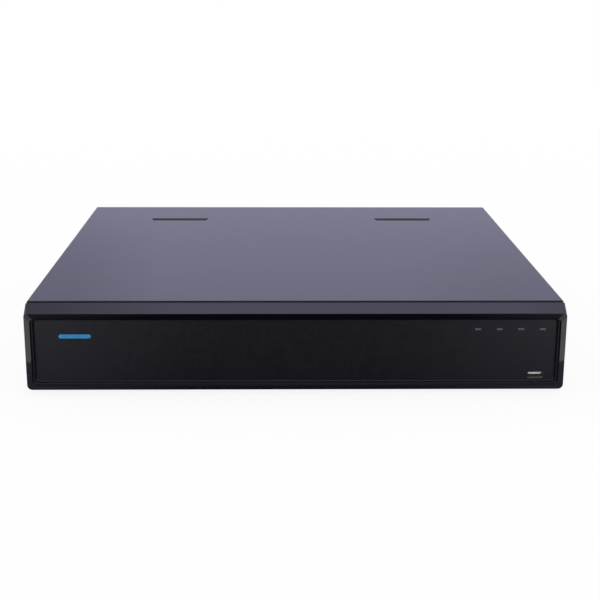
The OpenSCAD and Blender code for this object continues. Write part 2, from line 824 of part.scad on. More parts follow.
// Front socket with its mouth behind the panel, and rear socket turned to face the back
module at_usb() {
    translate([usb_x, y_usb, z_usb]) children();
    translate([rear_usb_x, y_rear + socket_proud, rear_usb_z]) rotate([0, 0, 180]) children();
}

module usb_shells() {
    color([0.75, 0.75, 0.76])
    at_usb() usb_shell();
}

module usb_tongues() {
    color([0.9, 0.9, 0.9])
    at_usb() usb_tongue();
}

module usb_contacts() {
    pitch = 2.3;
    w = 1;
    t = 0.4;
    y0 = usb_tongue_in + t;
    y1 = usb_l - usb_floor - usb_tongue_root;
    z1 = usb_tongue_z - usb_tongue_t;
    color([0.85, 0.6, 0.25])
    at_usb()
        for (i = [-1.5 : 1.5])
            box([i * pitch - w / 2, y0, z1 - t], [i * pitch + w / 2, y1, z1]);
}

// Flat cable from the front board along the floor to the main board
ribbon_t = 1;
ribbon_w = 14;
ribbon_gap = 8.7;
ribbon_up = 18;
ribbon_plug = 6;
ribbon_plug_w = 16;
ribbon_in = 8;
ribbon_bend = 7;
ribbon_x = disk_x[1] + disk_step / 2 + ribbon_gap + ribbon_w / 2;
ribbon_z = fboard_z[0] + ribbon_up;

module front_ribbon_cable() {
    y0 = y_fboard + board_t;
    y1 = y0 + ribbon_plug;
    y2 = board_y0 + ribbon_in;
    low = z_floor + fit + ribbon_t / 2;
    high = z_deck + ribbon_plug + ribbon_bend;
    color([0.8, 0.8, 0.78])
    translate([ribbon_x, 0, 0]) {
        // plugs on the two boards
        box([-ribbon_plug_w / 2, y0, ribbon_z - ribbon_plug / 2],
            [ribbon_plug_w / 2, y1, ribbon_z + ribbon_plug / 2]);
        box([-ribbon_plug_w / 2, y2, z_deck],
            [ribbon_plug_w / 2, y2 + ribbon_plug, z_deck + ribbon_plug]);
        translate([-ribbon_w / 2, 0, 0]) sweep_x(ribbon_w) polygon(ribbon_outline([
            [y1 - touch, ribbon_z],
            [y1 + ribbon_bend, ribbon_z],
            [y1 + 2 * ribbon_bend, ribbon_z - ribbon_bend],
            [y1 + 2 * ribbon_bend, low + ribbon_bend],
            [y1 + 3 * ribbon_bend, low],
            [board_y0 - 4 * ribbon_bend, low],
            [board_y0 - 2 * ribbon_bend, low + 2 * ribbon_bend],
            [board_y0 - ribbon_bend, high],
            [y2, high],
            [y2 + ribbon_plug / 2, z_deck + ribbon_plug - touch]
        ], ribbon_t / 2));
    }
}

// Both sides of a line of points, each side half a thickness away
function ribbon_outline(line, half) = concat(
    [for (i = [0 : len(line) - 1]) line[i] + half * ribbon_normal(line, i)],
    [for (i = [len(line) - 1 : -1 : 0]) line[i] - half * ribbon_normal(line, i)]
);
function ribbon_normal(line, i) = let (
    back = unit(line[max(i, 1)] - line[max(i, 1) - 1]),
    on = unit(line[min(i, len(line) - 2) + 1] - line[min(i, len(line) - 2)]),
    mean = unit(back + on)
) [-mean[1], mean[0]] / (mean * on);

// Main board

module main_board() {
    color([0.04, 0.2, 0.12])
    difference() {
        box([board_x0, board_y0, z_board], [board_x1, board_y1, z_deck]);
        at_xy(main_board_places(), z_board - over) cylinder(r = screw_hole_r, h = board_t + 2 * over);
    }
}

// Finned block standing on a chip
module heatsink(w, d, h, fins) {
    base = 3;
    fin_t = 1.2;
    cube([w, d, base]);
    for (i = [0 : fins - 1])
        translate([i * (w - fin_t) / (fins - 1), 0, base - touch]) cube([fin_t, d, h - base + touch]);
}

// Chips with heatsinks, from the main board's front left-hand corner
chip_h = 2;
chip_inset = 5;
processor_w = 40;
processor_x = board_x0 + 0.51 * board_w;
processor_y = board_y0 + 0.35 * board_d;
codec_w = 28;
codec_x = board_x0 + 0.24 * board_w;
codec_y = board_y0 + 0.44 * board_d;

module processor_heatsink() {
    h = 16;
    fins = 11;
    color([0.2, 0.2, 0.22])
    translate([processor_x, processor_y, z_deck + chip_h]) heatsink(processor_w, processor_w, h, fins);
}

module codec_heatsink() {
    h = 12;
    fins = 8;
    color([0.6, 0.62, 0.64])
    translate([codec_x, codec_y, z_deck + chip_h]) heatsink(codec_w, codec_w, h, fins);
}

// Row of four flat chips
module chip_row(w, l, h, gap) {
    for (i = [0 : 3]) translate([i * (w + gap), 0, 0]) cube([w, l, h]);
}

module board_chips() {
    memory_w = 9;
    memory_l = 13;
    memory_gap = 4;
    memory_front = 22;
    decoder_w = 14;
    decoder_gap = 6;
    decoder_right = 12;
    flat_h = 1.2;
    color([0.08, 0.08, 0.08])
    translate([0, 0, z_deck]) {
        for (c = [[processor_x, processor_y, processor_w], [codec_x, codec_y, codec_w]])
            translate([c[0] + chip_inset, c[1] + chip_inset, 0])
                cube([c[2] - 2 * chip_inset, c[2] - 2 * chip_inset, chip_h]);
        // memory, and a row of video decoders in front of the coaxial sockets
        translate([processor_x + memory_gap, processor_y - memory_front, 0])
            chip_row(memory_w, memory_l, flat_h, memory_gap);
        translate([processor_x + processor_w + decoder_right, processor_y + processor_w / 2, 0])
            chip_row(decoder_w, decoder_w, flat_h, decoder_gap);
    }
}

module coin_cell() {
    holder_r = 11.5;
    holder_h = 1.6;
    cell_r = 10;
    cell_h = 3.2;
    color([0.78, 0.78, 0.78])
    translate([board_x0 + 0.41 * board_w, board_y0 + 0.165 * board_d, z_deck]) {
        cylinder(r = holder_r, h = holder_h);
        translate([0, 0, holder_h - touch]) cylinder(r = cell_r, h = cell_h);
    }
}

sata_in = 4;
sata_y = board_y0 + sata_in;
sata_d = 7;
sata_h = 7;
sata_row = 12;

// Upright data sockets on the main board, two behind each stack of disks
function sata_places() = [for (x = disk_x, k = [0, 1]) [x + sata_dx, sata_y + k * sata_row]];

module sata_sockets() {
    color([0.6, 0.1, 0.1])
    at_xy(sata_places(), z_deck) translate([-sata_l / 2, 0, 0]) cube([sata_l, sata_d, sata_h]);
}

// Flat cables from the sockets over to the backs of the disks
module sata_cables() {
    t = 2;
    bend = 6;
    lift = 4;
    slack = 16;
    plug_l = 7;
    plug_h = 6;
    plug_w = 12;
    plug_up = 8;
    top_z = z_deck + sata_h;
    y_disk = disk_y + disk_l;
    color([0.7, 0.08, 0.08])
    for (x = disk_x, k = [0, 1]) {
        z = disk_z[k] + plug_up;
        y = sata_y + k * sata_row + sata_d / 2;
        rise = top_z + bend + k * sata_row;
        mid = y_disk + slack - k * bend;
        translate([x + sata_dx, 0, 0]) {
            box([-plug_w / 2, y_disk, z - plug_h / 2], [plug_w / 2, y_disk + plug_l, z + plug_h / 2]);
            translate([-sata_w / 2, 0, 0]) sweep_x(sata_w) polygon(ribbon_outline([
                [y_disk + plug_l - touch, z],
                [mid, z + fit],
                [mid + bend, (z + rise) / 2],
                [mid + 2 * bend, rise + lift],
                [y - bend, rise + lift],
                [y, rise],
                [y, top_z]
            ], t / 2));
        }
    }
}

// Coaxial sockets

bnc_collar_r = 6.2;
bnc_collar_l = 2;
bnc_bore_r = 4.05;
bnc_edge = 0.4;
bnc_face = y_inner - hole_fit;
bnc_tube = y_rear + bnc_l - bnc_face;
bnc_seat = 4;
bnc_pin_r = 0.95;

function bnc_places() = [
    for (z = bnc_z, i = [0 : bnc_count - 1]) [bnc_x + (i - (bnc_count - 1) / 2) * bnc_pitch, z]
];

module bnc_block() {
    color([0.06, 0.06, 0.06])
    box([bnc_x - bnc_w / 2, bnc_face - bnc_block_d, z_deck],
        [bnc_x + bnc_w / 2, bnc_face, bnc_z[1] + bnc_pitch / 2]);
}

module bnc_shells() {
    collar = bnc_collar_l + sheet_t;
    lug_r = 1;
    lug_out = 0.8;
    lug_x = bnc_bore_r + bnc_edge;
    lug_l = bnc_r + lug_out - lug_x;
    lug_back = 4.2;
    color([0.78, 0.78, 0.76])
    at_xz(bnc_places(), bnc_face)
        rotate([-90, 0, 0]) union() {
            rotate_extrude() polygon([
                [bnc_bore_r, 0],
                [bnc_collar_r, 0],
                [bnc_collar_r, collar],
                [bnc_r + bnc_edge, collar + bnc_edge],
                [bnc_r, collar + 2 * bnc_edge],
                [bnc_r, bnc_tube - bnc_edge],
                [bnc_r - bnc_edge, bnc_tube],
                [bnc_bore_r, bnc_tube]
            ]);
            for (s = [0, 180])
                rotate([0, 0, s]) translate([lug_x, 0, bnc_tube - lug_back]) bar_x(lug_r, lug_l);
        }
}

module bnc_inserts() {
    stem_r = 2.3;
    stem_l = bnc_tube - 2 * bnc_edge;
    color([0.93, 0.93, 0.9])
    at_xz(bnc_places(), bnc_face)
        rotate([-90, 0, 0]) rotate_extrude() polygon([
            [0, 0],
            [bnc_bore_r - run_fit, 0],
            [bnc_bore_r - run_fit, bnc_seat],
            [stem_r, bnc_seat],
            [stem_r, stem_l],
            [bnc_pin_r + run_fit, stem_l],
            [bnc_pin_r + run_fit, bnc_seat],
            [0, bnc_seat]
        ]);
}

module bnc_pins() {
    l = bnc_tube - bnc_seat - 3 * bnc_edge;
    bore_r = 0.55;
    bore_z = 3;
    color([0.85, 0.65, 0.3])
    at_xz(bnc_places(), bnc_face + bnc_seat)
        rotate([-90, 0, 0]) rotate_extrude() polygon([
            [0, 0],
            [bnc_pin_r, 0],
            [bnc_pin_r, l],
            [bore_r, l],
            [bore_r, bore_z],
            [0, bore_z]
        ]);
}

// Audio sockets, one above the other

rca_collar_r = 5;
rca_collar_out = 1;
rca_l = 10;
rca_r = 4.15;
rca_bore_r = 3;

module rca_shells() {
    l = rca_l - rca_collar_out;
    color([0.8, 0.8, 0.78])
    for (z = rca_z)
        translate([rca_x, y_rear + rca_collar_out, z]) difference() {
            bar_y(rca_r, l);
            translate([0, -over, 0]) bar_y(rca_bore_r, l + 2 * over);
        }
}

// Insulated body on the board, with a coloured collar through the panel and a hollow core
module rca_inserts() {
    depth = 14;
    core_r = 1.7;
    core_y = 2;
    face = y_inner - hole_fit;
    color([0.85, 0.15, 0.12])
    union() {
        box([rca_x - rca_w / 2, face - depth, z_deck], [rca_x + rca_w / 2, face, rca_z[1] + rca_w / 2]);
        for (z = rca_z)
            translate([rca_x, face - touch, z]) difference() {
                union() {
                    bar_y(rca_collar_r, y_rear + rca_collar_out - face + touch);
                    bar_y(rca_bore_r - run_fit, y_rear + rca_l - rca_collar_out - face);
                }
                translate([0, core_y, 0]) bar_y(core_r, rca_l + core_y);
            }
    }
}

// Monitor socket with a D-shaped sleeve

vga_h = 12.5;
vga_z = z_deck + vga_h / 2;
vga_post_x = 12.5;
vga_thread_r = 1.4;
vga_thread_l = 3;
vga_plate = 1;
vga_sleeve = 6;
vga_wall = 0.5;
vga_front = vga_plate + hole_fit + sheet_t + vga_sleeve;

// D shape, grown by g
module vga_outline(g) {
    top = 16.4;
    bottom = 14.4;
    h = 7.9;
    r = 2;
    polygon(rounded([
        [-bottom / 2 - g, -h / 2 - g],
        [bottom / 2 + g, -h / 2 - g],
        [top / 2 + g, h / 2 + g],
        [-top / 2 - g, h / 2 + g]
    ], r));
}

// Holes for the two threaded posts, from y0 on
module vga_threads(y0, l) {
    for (s = [-1, 1]) translate([s * vga_post_x, y0, 0]) bar_y(vga_thread_r + run_fit, l);
}

module vga_shell() {
    plate_r = 1;
    color([0.75, 0.75, 0.74])
    translate([vga_x, y_inner - hole_fit - vga_plate, vga_z]) difference() {
        union() {
            sweep_y(vga_plate) round_rect(vga_w, vga_h - fit, plate_r);
            sweep_y(vga_front) vga_outline(0);
        }
        translate([0, -over, 0]) sweep_y(vga_front + 2 * over) vga_outline(-vga_wall);
        vga_threads(-over, vga_plate + 2 * over);
    }
}

module vga_insert() {
    depth = 9;
    side = 0.5;
    pin_r = 0.5;
    pin_x = 2.3;
    pin_z = 2;
    pin_y = 2;
    shift = 0.5;
    color([0.1, 0.2, 0.6])
    translate([vga_x, y_inner - hole_fit - vga_plate, vga_z]) difference() {
        union() {
            translate([0, -depth, 0]) block_y(depth, [vga_w - 2 * side, vga_h]);
            translate([0, -touch, 0]) sweep_y(vga_front - vga_wall) vga_outline(-vga_wall - run_fit);
        }
        for (r = [-1, 0, 1], i = [-2 : 2])
            translate([i * pin_x + r * shift, pin_y, r * pin_z]) bar_y(pin_r, vga_front, $fn = 16);
        vga_threads(-vga_thread_l - over, vga_thread_l + 2 * over);
    }
}

module vga_posts() {
    nut_r = 2.6;
    nut_l = 4.5;
    bore_r = 1.2;
    bore_y = 1;
    back = vga_thread_l + sheet_t + hole_fit;
    color([0.78, 0.78, 0.76])
    for (s = [-1, 1])
        translate([vga_x + s * vga_post_x, y_rear, vga_z]) difference() {
            union() {
                bar_y(nut_r, nut_l, $fn = 6);
                translate([0, -back, 0]) bar_y(vga_thread_r, back + bore_y);
            }
            translate([0, bore_y, 0]) bar_y(bore_r, nut_l);
        }
}

// Digital video sockets

hdmi_h = 5.6;
hdmi_opening = 15;
hdmi_cut = 1.9;
hdmi_side = 0.9;
hdmi_z = z_deck + hdmi_h / 2;
hdmi_l = 11.5;
hdmi_out = 1;
hdmi_floor = 2;

// Wide mouth with its two lower corners cut off, grown by g
module hdmi_outline(g) {
    x0 = hdmi_opening / 2 - hdmi_cut + g / 2;
    x1 = hdmi_opening / 2 + g;
    z1 = hdmi_h / 2 + g;
    polygon([[-x1, z1], [-x1, -hdmi_side], [-x0, -z1], [x0, -z1], [x1, -hdmi_side], [x1, z1]]);
}

module hdmi_shells() {
    wall = 0.45;
    color([0.72, 0.72, 0.72])
    for (x = hdmi_x)
        translate([x, y_rear + hdmi_out - hdmi_l, hdmi_z]) difference() {
            sweep_y(hdmi_l) hdmi_outline(0);
            translate([0, hdmi_floor, 0]) sweep_y(hdmi_l) hdmi_outline(-wall);
        }
}

module hdmi_tongues() {
    w = 11.4;
    low = 0.3;
    high = 0.9;
    color([0.05, 0.05, 0.05])
    for (x = hdmi_x)
        translate([x, y_rear + hdmi_out - hdmi_l + hdmi_floor, hdmi_z])
            box([-w / 2, 0, -low], [w / 2, hdmi_l - 2 * hdmi_floor, high]);
}

// Network socket: a plastic body with a stepped mouth in a metal shield

net_h = 13.6;
net_l = 21;
net_wall = 0.35;
net_mouth_w = 11.8;
net_mouth_h = 8;
net_mouth_z = 1.6;

module network_shell() {
    color([0.75, 0.75, 0.75])
    translate([net_x, y_rear + socket_proud - net_l, z_deck + net_h / 2]) difference() {
        block_y(net_l, [net_w, net_h]);
        translate([0, net_wall, 0]) block_y(net_l, grown(net_w, net_h, -net_wall));
    }
}

module network_insert() {
    inset = 0.4;
    l = net_l - net_wall - inset;
    mouth_d = 13;
    latch_w = 6.2;
    latch_z = 2;
    tip_w = 3.6;
    tip_z = 3.6;
    low = net_mouth_z - net_mouth_h / 2;
    color([0.07, 0.07, 0.07])
    translate([net_x, y_rear + socket_proud - net_l + net_wall, z_deck + net_h / 2]) difference() {
        block_y(l, grown(net_w, net_h, -net_wall - run_fit));
        translate([0, l - mouth_d, 0]) sweep_y(mouth_d + over) {
            translate([0, net_mouth_z]) square([net_mouth_w, net_mouth_h], center = true);
            // stepped clearance for a plug's latch
            translate([-latch_w / 2, low - latch_z]) square([latch_w, latch_z + touch]);
            translate([-tip_w / 2, low - tip_z]) square([tip_w, tip_z + touch]);
        }
    }
}

// Alarm connector: a header on the board and a plug that pulls out to the rear

alarm_h = 11;
alarm_header_l = 12;
alarm_nose = 7;
alarm_nose_gap = 1;
alarm_plug_l = 15;
alarm_out = 0.5;
alarm_y = y_rear + alarm_out;
alarm_screw_r = 1.4;
alarm_screw_y = 4;
alarm_screw_z = 1.6;

module alarm_header() {
    depth = alarm_nose + alarm_nose_gap;
    color([0.1, 0.45, 0.2])
    translate([alarm_x, alarm_y - alarm_header_l, z_deck + alarm_h / 2]) difference() {
        block_y(alarm_header_l, [alarm_w, alarm_h]);
        translate([0, alarm_header_l - depth, 0]) block_y(depth + over, grown(alarm_w, alarm_h, -alarm_wall));
    }
}

module alarm_plug() {
    wire_w = 2.6;
    wire_h = 3;
    wire_y = 2.5;
    wire_down = 1.8;
    color([0.12, 0.5, 0.22])
    translate([alarm_x, alarm_y, z_deck + alarm_h / 2]) difference() {
        union() {
            translate([0, -alarm_nose, 0])
                block_y(alarm_nose + over, grown(alarm_w, alarm_h, -alarm_wall - fit));
            translate([0, fit, 0]) block_y(alarm_plug_l - alarm_nose, [alarm_w, alarm_h]);
        }
        for (x = alarm_pole_x()) translate([x, 0, 0]) {
            translate([0, wire_y, -wire_down]) block_y(alarm_plug_l, [wire_w, wire_h]);
            translate([0, alarm_screw_y, alarm_h / 2 - alarm_screw_z])
                cylinder(r = alarm_screw_r + run_fit, h = alarm_screw_z + over, $fn = 24);
        }
    }
}

function alarm_pole_x() = [for (i = [0 : alarm_poles - 1]) (i - (alarm_poles - 1) / 2) * alarm_pitch];

module alarm_plug_screws() {
    h = 1.2;
    slot_w = 0.5;
    color([0.7, 0.7, 0.68])
    for (x = alarm_pole_x())
        translate([alarm_x + x, alarm_y + alarm_screw_y, z_deck + alarm_h - alarm_screw_z]) difference() {
            cylinder(r = alarm_screw_r, h = h, $fn = 24);
            translate([-2 * alarm_screw_r, -slot_w / 2, h / 2]) cube([4 * alarm_screw_r, slot_w, h]);
        }
}

// Mains inlet and switch

inlet_flange = 2.5;
inlet_flange_w = 2;
inlet_flange_r = 2;
inlet_depth = 22;
inlet_cavity = 17;
inlet_pin_l = 14.5;
switch_flange = 2;
switch_flange_w = 1;
switch_flange_r = 1.5;
switch_depth = 14;
rocker_r = 8.2;
rocker_w = 10.4;
rocker_tilt = 9;
rocker_pin_r = 1.2;
rocker_pin_l = 0.7;
rocker_out = 0.6;
rocker_y = y_rear + rocker_out;

// Width and height of the bodies behind the flanges, grown by g
function inlet_body(g) = grown(inlet_w, inlet_h, g - inlet_flange_w);
function switch_body(g) = grown(switch_w, switch_h, g - switch_flange_w);

// Mouth of the inlet, with its two upper corners cut off
module inlet_mouth() {
    w = 24.4;
    h = 16.6;
    cut = 4;
    polygon([
        [-w / 2, -h / 2], [w / 2, -h / 2], [w / 2, h / 2 - cut],
        [w / 2 - cut, h / 2], [-w / 2 + cut, h / 2], [-w / 2, h / 2 - cut]
    ]);
}

module power_inlet() {
    color([0.05, 0.05, 0.05])
    translate([inlet_x, y_rear, inlet_z]) difference() {
        union() {
            sweep_y(inlet_flange) round_rect(inlet_w, inlet_h, inlet_flange_r);
            translate([0, -inlet_depth, 0]) block_y(inlet_depth + touch, inlet_body(0));
        }
        translate([0, inlet_flange - inlet_cavity, 0]) sweep_y(inlet_cavity + over) inlet_mouth();
    }
}

module inlet_pins() {
    w = 2;
    h = 4;
    r = 0.5;
    pin_x = 7;
    low = 2;
    high = 2.2;
    color([0.78, 0.74, 0.62])
    translate([inlet_x, 0, inlet_z])
        at_xz([[-pin_x, -low], [pin_x, -low], [0, high]], y_rear + inlet_flange - inlet_cavity)
            sweep_y(inlet_pin_l) round_rect(w, h, r);
}

module switch_frame() {
    bay_w = rocker_w + 2 * fit;
    bay_r = rocker_r + hole_fit;
    color([0.05, 0.05, 0.05])
    translate([inlet_x, y_rear, switch_z]) difference() {
        union() {
            sweep_y(switch_flange) round_rect(switch_w, switch_h, switch_flange_r);
            translate([0, -switch_depth, 0]) block_y(switch_depth + touch, switch_body(0));
        }
        translate([-bay_w / 2, rocker_out, 0]) {
            bar_x(bay_r, bay_w);
            translate([0, 0, -bay_r]) cube([bay_w, switch_flange + over, 2 * bay_r]);
        }
        translate([-rocker_w / 2 - rocker_pin_l - fit / 2, rocker_out, 0])
            bar_x(rocker_pin_r + run_fit, rocker_w + 2 * rocker_pin_l + fit);
    }
}

// Rocker with two faces that meet in a shallow valley, resting with its upper half pressed in
module power_rocker() {
    face = 3.4;
    reach = 9;
    ridge = face + tan(rocker_tilt) * reach;
    back = 3;
    color([0.07, 0.07, 0.07])
    translate([inlet_x, rocker_y, switch_z]) rotate([rocker_tilt, 0, 0]) union() {
        intersection() {
            translate([-rocker_w / 2, 0, 0]) bar_x(rocker_r, rocker_w);
            translate([-rocker_w / 2, 0, 0]) sweep_x(rocker_w) polygon([
                [-back, -reach], [ridge, -reach], [face, 0], [ridge, reach], [-back, reach]
            ]);
        }
        translate([-rocker_w / 2 - rocker_pin_l, 0, 0]) bar_x(rocker_pin_r, rocker_w + 2 * rocker_pin_l);
    }
}

// Wires from the inlet and the switch to a plug on the power supply board
wire_w = 5;
wire_t = 2.4;
wire_gap = 1;
wire_bend = 8;
wire_plug_w = 14;
wire_plug_l = 10;
wire_plug_h = 9;
wire_plug_in = 7;

module mains_wires() {
    plug_y = psu_y1 - wire_plug_in;
    plug_z = z_deck + wire_plug_h;
    color([0.12, 0.1, 0.1])
    translate([inlet_x, 0, 0]) union() {
        box([-wire_plug_w / 2, plug_y - wire_plug_l / 2, z_deck],
            [wire_plug_w / 2, plug_y + wire_plug_l / 2, plug_z]);
        translate([-wire_w - wire_gap / 2, 0, 0]) sweep_x(wire_w) polygon(ribbon_outline([
            [y_rear - inlet_depth, inlet_z],
            [y_rear - inlet_depth - wire_bend, inlet_z],
            [plug_y + wire_bend, plug_z + 1.5 * wire_bend],
            [plug_y, plug_z + wire_bend],
            [plug_y, plug_z - touch]
        ], wire_t / 2));
        translate([wire_gap / 2, 0, 0]) sweep_x(wire_w) polygon(ribbon_outline([
            [y_rear - switch_depth, switch_z],
            [y_rear - switch_depth - wire_bend, switch_z],
            [plug_y + wire_bend, (switch_z + plug_z) / 2 + wire_bend],
            [plug_y, plug_z + wire_bend],
            [plug_y, plug_z - touch]
        ], wire_t / 2));
    }
}

// Flat loom on the floor from the power supply to the main board and to the backs of the disks
loom_w = 8;
loom_t = 3;
loom_back = 26;
loom_edge = 2;
loom_plug_w = 18;
loom_plug_l = 8;
loom_plug_h = 10;
loom_plug_in = 4;
disk_plug_dx = -36;
disk_plug_w = 22;
disk_plug_l = 6;
disk_plug_up = 5;

module power_harness() {
    y_disk = disk_y + disk_l;
    y_loom = y_disk + loom_back;
    z_loom = z_floor + loom_t;
    psu_plug_x = psu_x0 + psu_w - loom_back;
    psu_plug_y = psu_y0 + loom_plug_in;
    board_edge = board_y0 - loom_edge;
    z_lead = z_deck + disk_plug_l;
    half = loom_w / 2;
    color([0.75, 0.6, 0.1])
    union() {
        // plug on the power supply, with its loom over the board's edge and along the floor
        translate([psu_plug_x, 0, 0]) {
            box([-loom_plug_w / 2, psu_plug_y, z_deck],
                [loom_plug_w / 2, psu_plug_y + loom_plug_l, z_deck + loom_plug_h]);
            translate([-half, 0, 0]) sweep_x(loom_w) polygon(ribbon_outline([
                [psu_plug_y + touch, z_deck + loom_plug_h / 2],
                [psu_plug_y - 2 * loom_t, z_deck + loom_plug_h / 2],
                [psu_plug_y - 3 * loom_t, z_deck],
                [psu_plug_y - 3 * loom_t, z_loom],
                [psu_plug_y - 4 * loom_t, z_floor + loom_t / 2],
                [y_loom - half, z_floor + loom_t / 2]
            ], loom_t / 2));
        }
        box([psu_plug_x - half, y_loom - half, z_floor],
            [disk_x[1] + disk_plug_dx + half, y_loom + half, z_loom]);
        // a strap behind each stack, with a plug on each disk
        for (x = disk_x) translate([x + disk_plug_dx, y_disk + disk_plug_l, 0]) {
            box([-half, 0, z_floor], [half, loom_back - disk_plug_l, z_loom]);
            box([-half, 0, z_floor], [half, loom_t, disk_z[1] + disk_plug_up + disk_plug_l]);
            for (z = disk_z)
                translate([0, -disk_plug_l, z + disk_plug_up])
                    box([-disk_plug_w / 2, 0, 0], [disk_plug_w / 2, disk_plug_l + touch, disk_plug_l]);
        }
        // branch up to the main board
        translate([board_plug_x, 0, 0]) {
            box([-half, y_loom, z_floor], [half, board_edge, z_loom]);
            box([-half, board_edge - loom_t, z_floor], [half, board_edge, z_lead]);
            box([-half, board_edge - loom_t, z_lead - loom_t],
                [half, board_y0 + loom_plug_in + touch, z_lead]);
            box([-board_plug_w / 2, board_y0 + loom_plug_in, z_deck],
                [board_plug_w / 2, board_y0 + loom_plug_in + loom_plug_l, z_deck + loom_plug_h]);
        }
    }
}

// Power supply

module psu_board() {
    color([0.5, 0.38, 0.18])
    difference() {
        box([psu_x0, psu_y0, z_board], [psu_x0 + psu_w, psu_y1, z_deck]);
        at_xy(psu_places(), z_board - over) cylinder(r = screw_hole_r, h = board_t + 2 * over);
    }
}

module psu_transformer() {
    core_w = 36;
    core_l = 30;
    foot = 6;
    coil_w = 28;
    coil_l = 34;
    coil_h = 20;
    cap = 4;
    color([0.75, 0.65, 0.2])
    translate([psu_x0 + psu_w / 2, psu_y0 + psu_d / 2, z_deck]) union() {
        linear_extrude(foot) square([core_w, core_l], center = true);
        translate([0, 0, foot - touch]) linear_extrude(coil_h + 2 * touch)
            square([coil_w, coil_l], center = true);
        translate([0, 0, foot + coil_h]) linear_extrude(cap) square([core_w, core_l], center = true);
    }
}

module psu_capacitors() {
    big_r = 12;
    big_h = 34;
    big_in = 22;
    small_r = 5;
    small_h = 25;
    small_in = 18;
    small_step = 26;
    color([0.08, 0.09, 0.12])
    translate([psu_x0 + psu_w / 2, 0, z_deck]) {
        translate([0, psu_y1 - big_in, 0]) cylinder(r = big_r, h = big_h);
        for (i = [-1, 0, 1])
            translate([i * small_step, psu_y0 + small_in, 0]) cylinder(r = small_r, h = small_h);
    }
}

module psu_heatsinks() {
    side = 14;
    t = 3;
    h = 30;
    lip = 6;
    color([0.7, 0.7, 0.72])
    for (share = [0.24, 0.7])
        translate([psu_x0 + side, psu_y0 + psu_d * share, z_deck]) union() {
            cube([psu_w - 2 * side, t, h]);
            translate([0, -lip, h - t]) cube([psu_w - 2 * side, lip + touch, t]);
        }
}

// Cooling fan

fan_screw_r = 1.9;
fan_y = y_inner - fan_t;
fan_shaft_r = 1.5;
fan_corner_r = 3;
fan_screw_l = 10;

function fan_screw_places() = [
    for (x = [-0.5, 0.5], z = [-0.5, 0.5]) [fan_x + x * fan_screw_pitch, fan_z + z * fan_screw_pitch]
];

module fan_frame() {
    plate = 3;
    strut_t = 2.4;
    strut_w = 3;
    tube_r = 4;
    tube_gap = 6;
    shaft_y = 1;
    color([0.06, 0.06, 0.06])
    difference() {
        translate([fan_x, fan_y, fan_z]) union() {
            difference() {
                sweep_y(fan_t) round_rect(fan_w, fan_w, fan_corner_r);
                translate([0, -over, 0]) bar_y(fan_bore_r, fan_t + 2 * over);
            }
            // motor plate on four struts, with the bearing tube
            bar_y(fan_hub_r, plate);
            for (a = [45 : 90 : 315])
                rotate([0, a, 0])
                    box([fan_hub_r / 2, 0, -strut_w / 2], [fan_bore_r + fan_wall / 2, strut_t, strut_w / 2]);
            bar_y(tube_r, fan_t - tube_gap);
        }
        translate([fan_x, fan_y + shaft_y, fan_z]) bar_y(fan_shaft_r + run_fit, fan_t);
        at_xz(fan_screw_places(), fan_y - over) bar_y(fan_screw_r + fit, fan_t + 2 * over);
    }
}

module fan_rotor() {
    cap = 2;
    cup_wall = 2;
    y0 = 4;
    shaft_y = 2;
    grille_gap = 1.5;
    blade_t = 1.4;
    blade_turn = 50;
    blade_gap = 1;
    l = fan_t - y0 - grille_gap;
    color([0.08, 0.08, 0.08])
    translate([fan_x, fan_y, fan_z]) union() {
        difference() {
            translate([0, y0, 0]) bar_y(fan_hub_r, l);
            translate([0, y0 - over, 0]) bar_y(fan_hub_r - cup_wall, l + over - cap);
        }
        translate([0, shaft_y, 0]) bar_y(fan_shaft_r, y0 + l - shaft_y - touch);
        intersection() {
            translate([0, y0, 0]) bar_y(fan_bore_r - blade_gap, l - blade_gap);
            for (i = [0 : fan_blades - 1])
                rotate([0, i * 360 / fan_blades, 0])
                    translate([fan_hub_r - cup_wall / 2, y0 + l / 2, 0]) rotate([blade_turn, 0, 0])
                        translate([0, -blade_t / 2, -fan_t]) cube([fan_bore_r, blade_t, 2 * fan_t]);
        }
    }
}

module fan_screws() {
    color([0.1, 0.1, 0.1])
    at_xz(fan_screw_places(), y_rear) rotate([-90, 0, 0]) screw(fan_screw_l, fan_screw_r, fan_head_r);
}

// Hard disks in two stacks of two

module at_disks() {
    for (x = disk_x, z = disk_z) translate([x, disk_y, z]) children();
}

disk_lid_t = 1;
disk_lid_inset = 1.5;
disk_board_gap = 3;
disk_r = 3;
disk_screw_r = 1.65;
disk_screw_l = 4.5;
disk_head_r = 3;

module disk_bodies() {
    floor_t = 4;
    platter_r = 48;
    platter_in = 55;
    arm = [56, 42];
    arm_x = -34;
    arm_y = 8;
    hole_d = 5;
    color([0.55, 0.56, 0.58])
    at_disks() difference() {
        translate([0, disk_l / 2, disk_board_gap]) linear_extrude(disk_h - disk_board_gap - disk_lid_t)
            round_rect(disk_w, disk_l, disk_r);
        // space for the platters and their arm, and the screw holes in the sides
        translate([0, 0, disk_board_gap + floor_t]) linear_extrude(disk_h) {
            translate([0, disk_l - platter_in]) circle(platter_r);
            translate([arm_x, arm_y]) square(arm);
        }
        for (y = disk_screw_y)
            translate([0, disk_l - y, disk_screw_z]) both_sides()
                translate([disk_w / 2 - hole_d, 0, 0]) bar_x(disk_screw_r + run_fit, hole_d + over);
    }
}

module disk_lids() {
    inset = 2 * disk_lid_inset;
    color([0.72, 0.73, 0.75])
    at_disks() translate([0, disk_l / 2, disk_h - disk_lid_t])
        linear_extrude(disk_lid_t) round_rect(disk_w - inset, disk_l - inset, disk_r);
}

module disk_boards() {
    side = 6;
    l = 72;
    color([0.05, 0.2, 0.15])
    at_disks()
        box([-disk_w / 2 + side, disk_l - l, disk_board_gap - board_t],
            [disk_w / 2 - side, disk_l, disk_board_gap]);
}

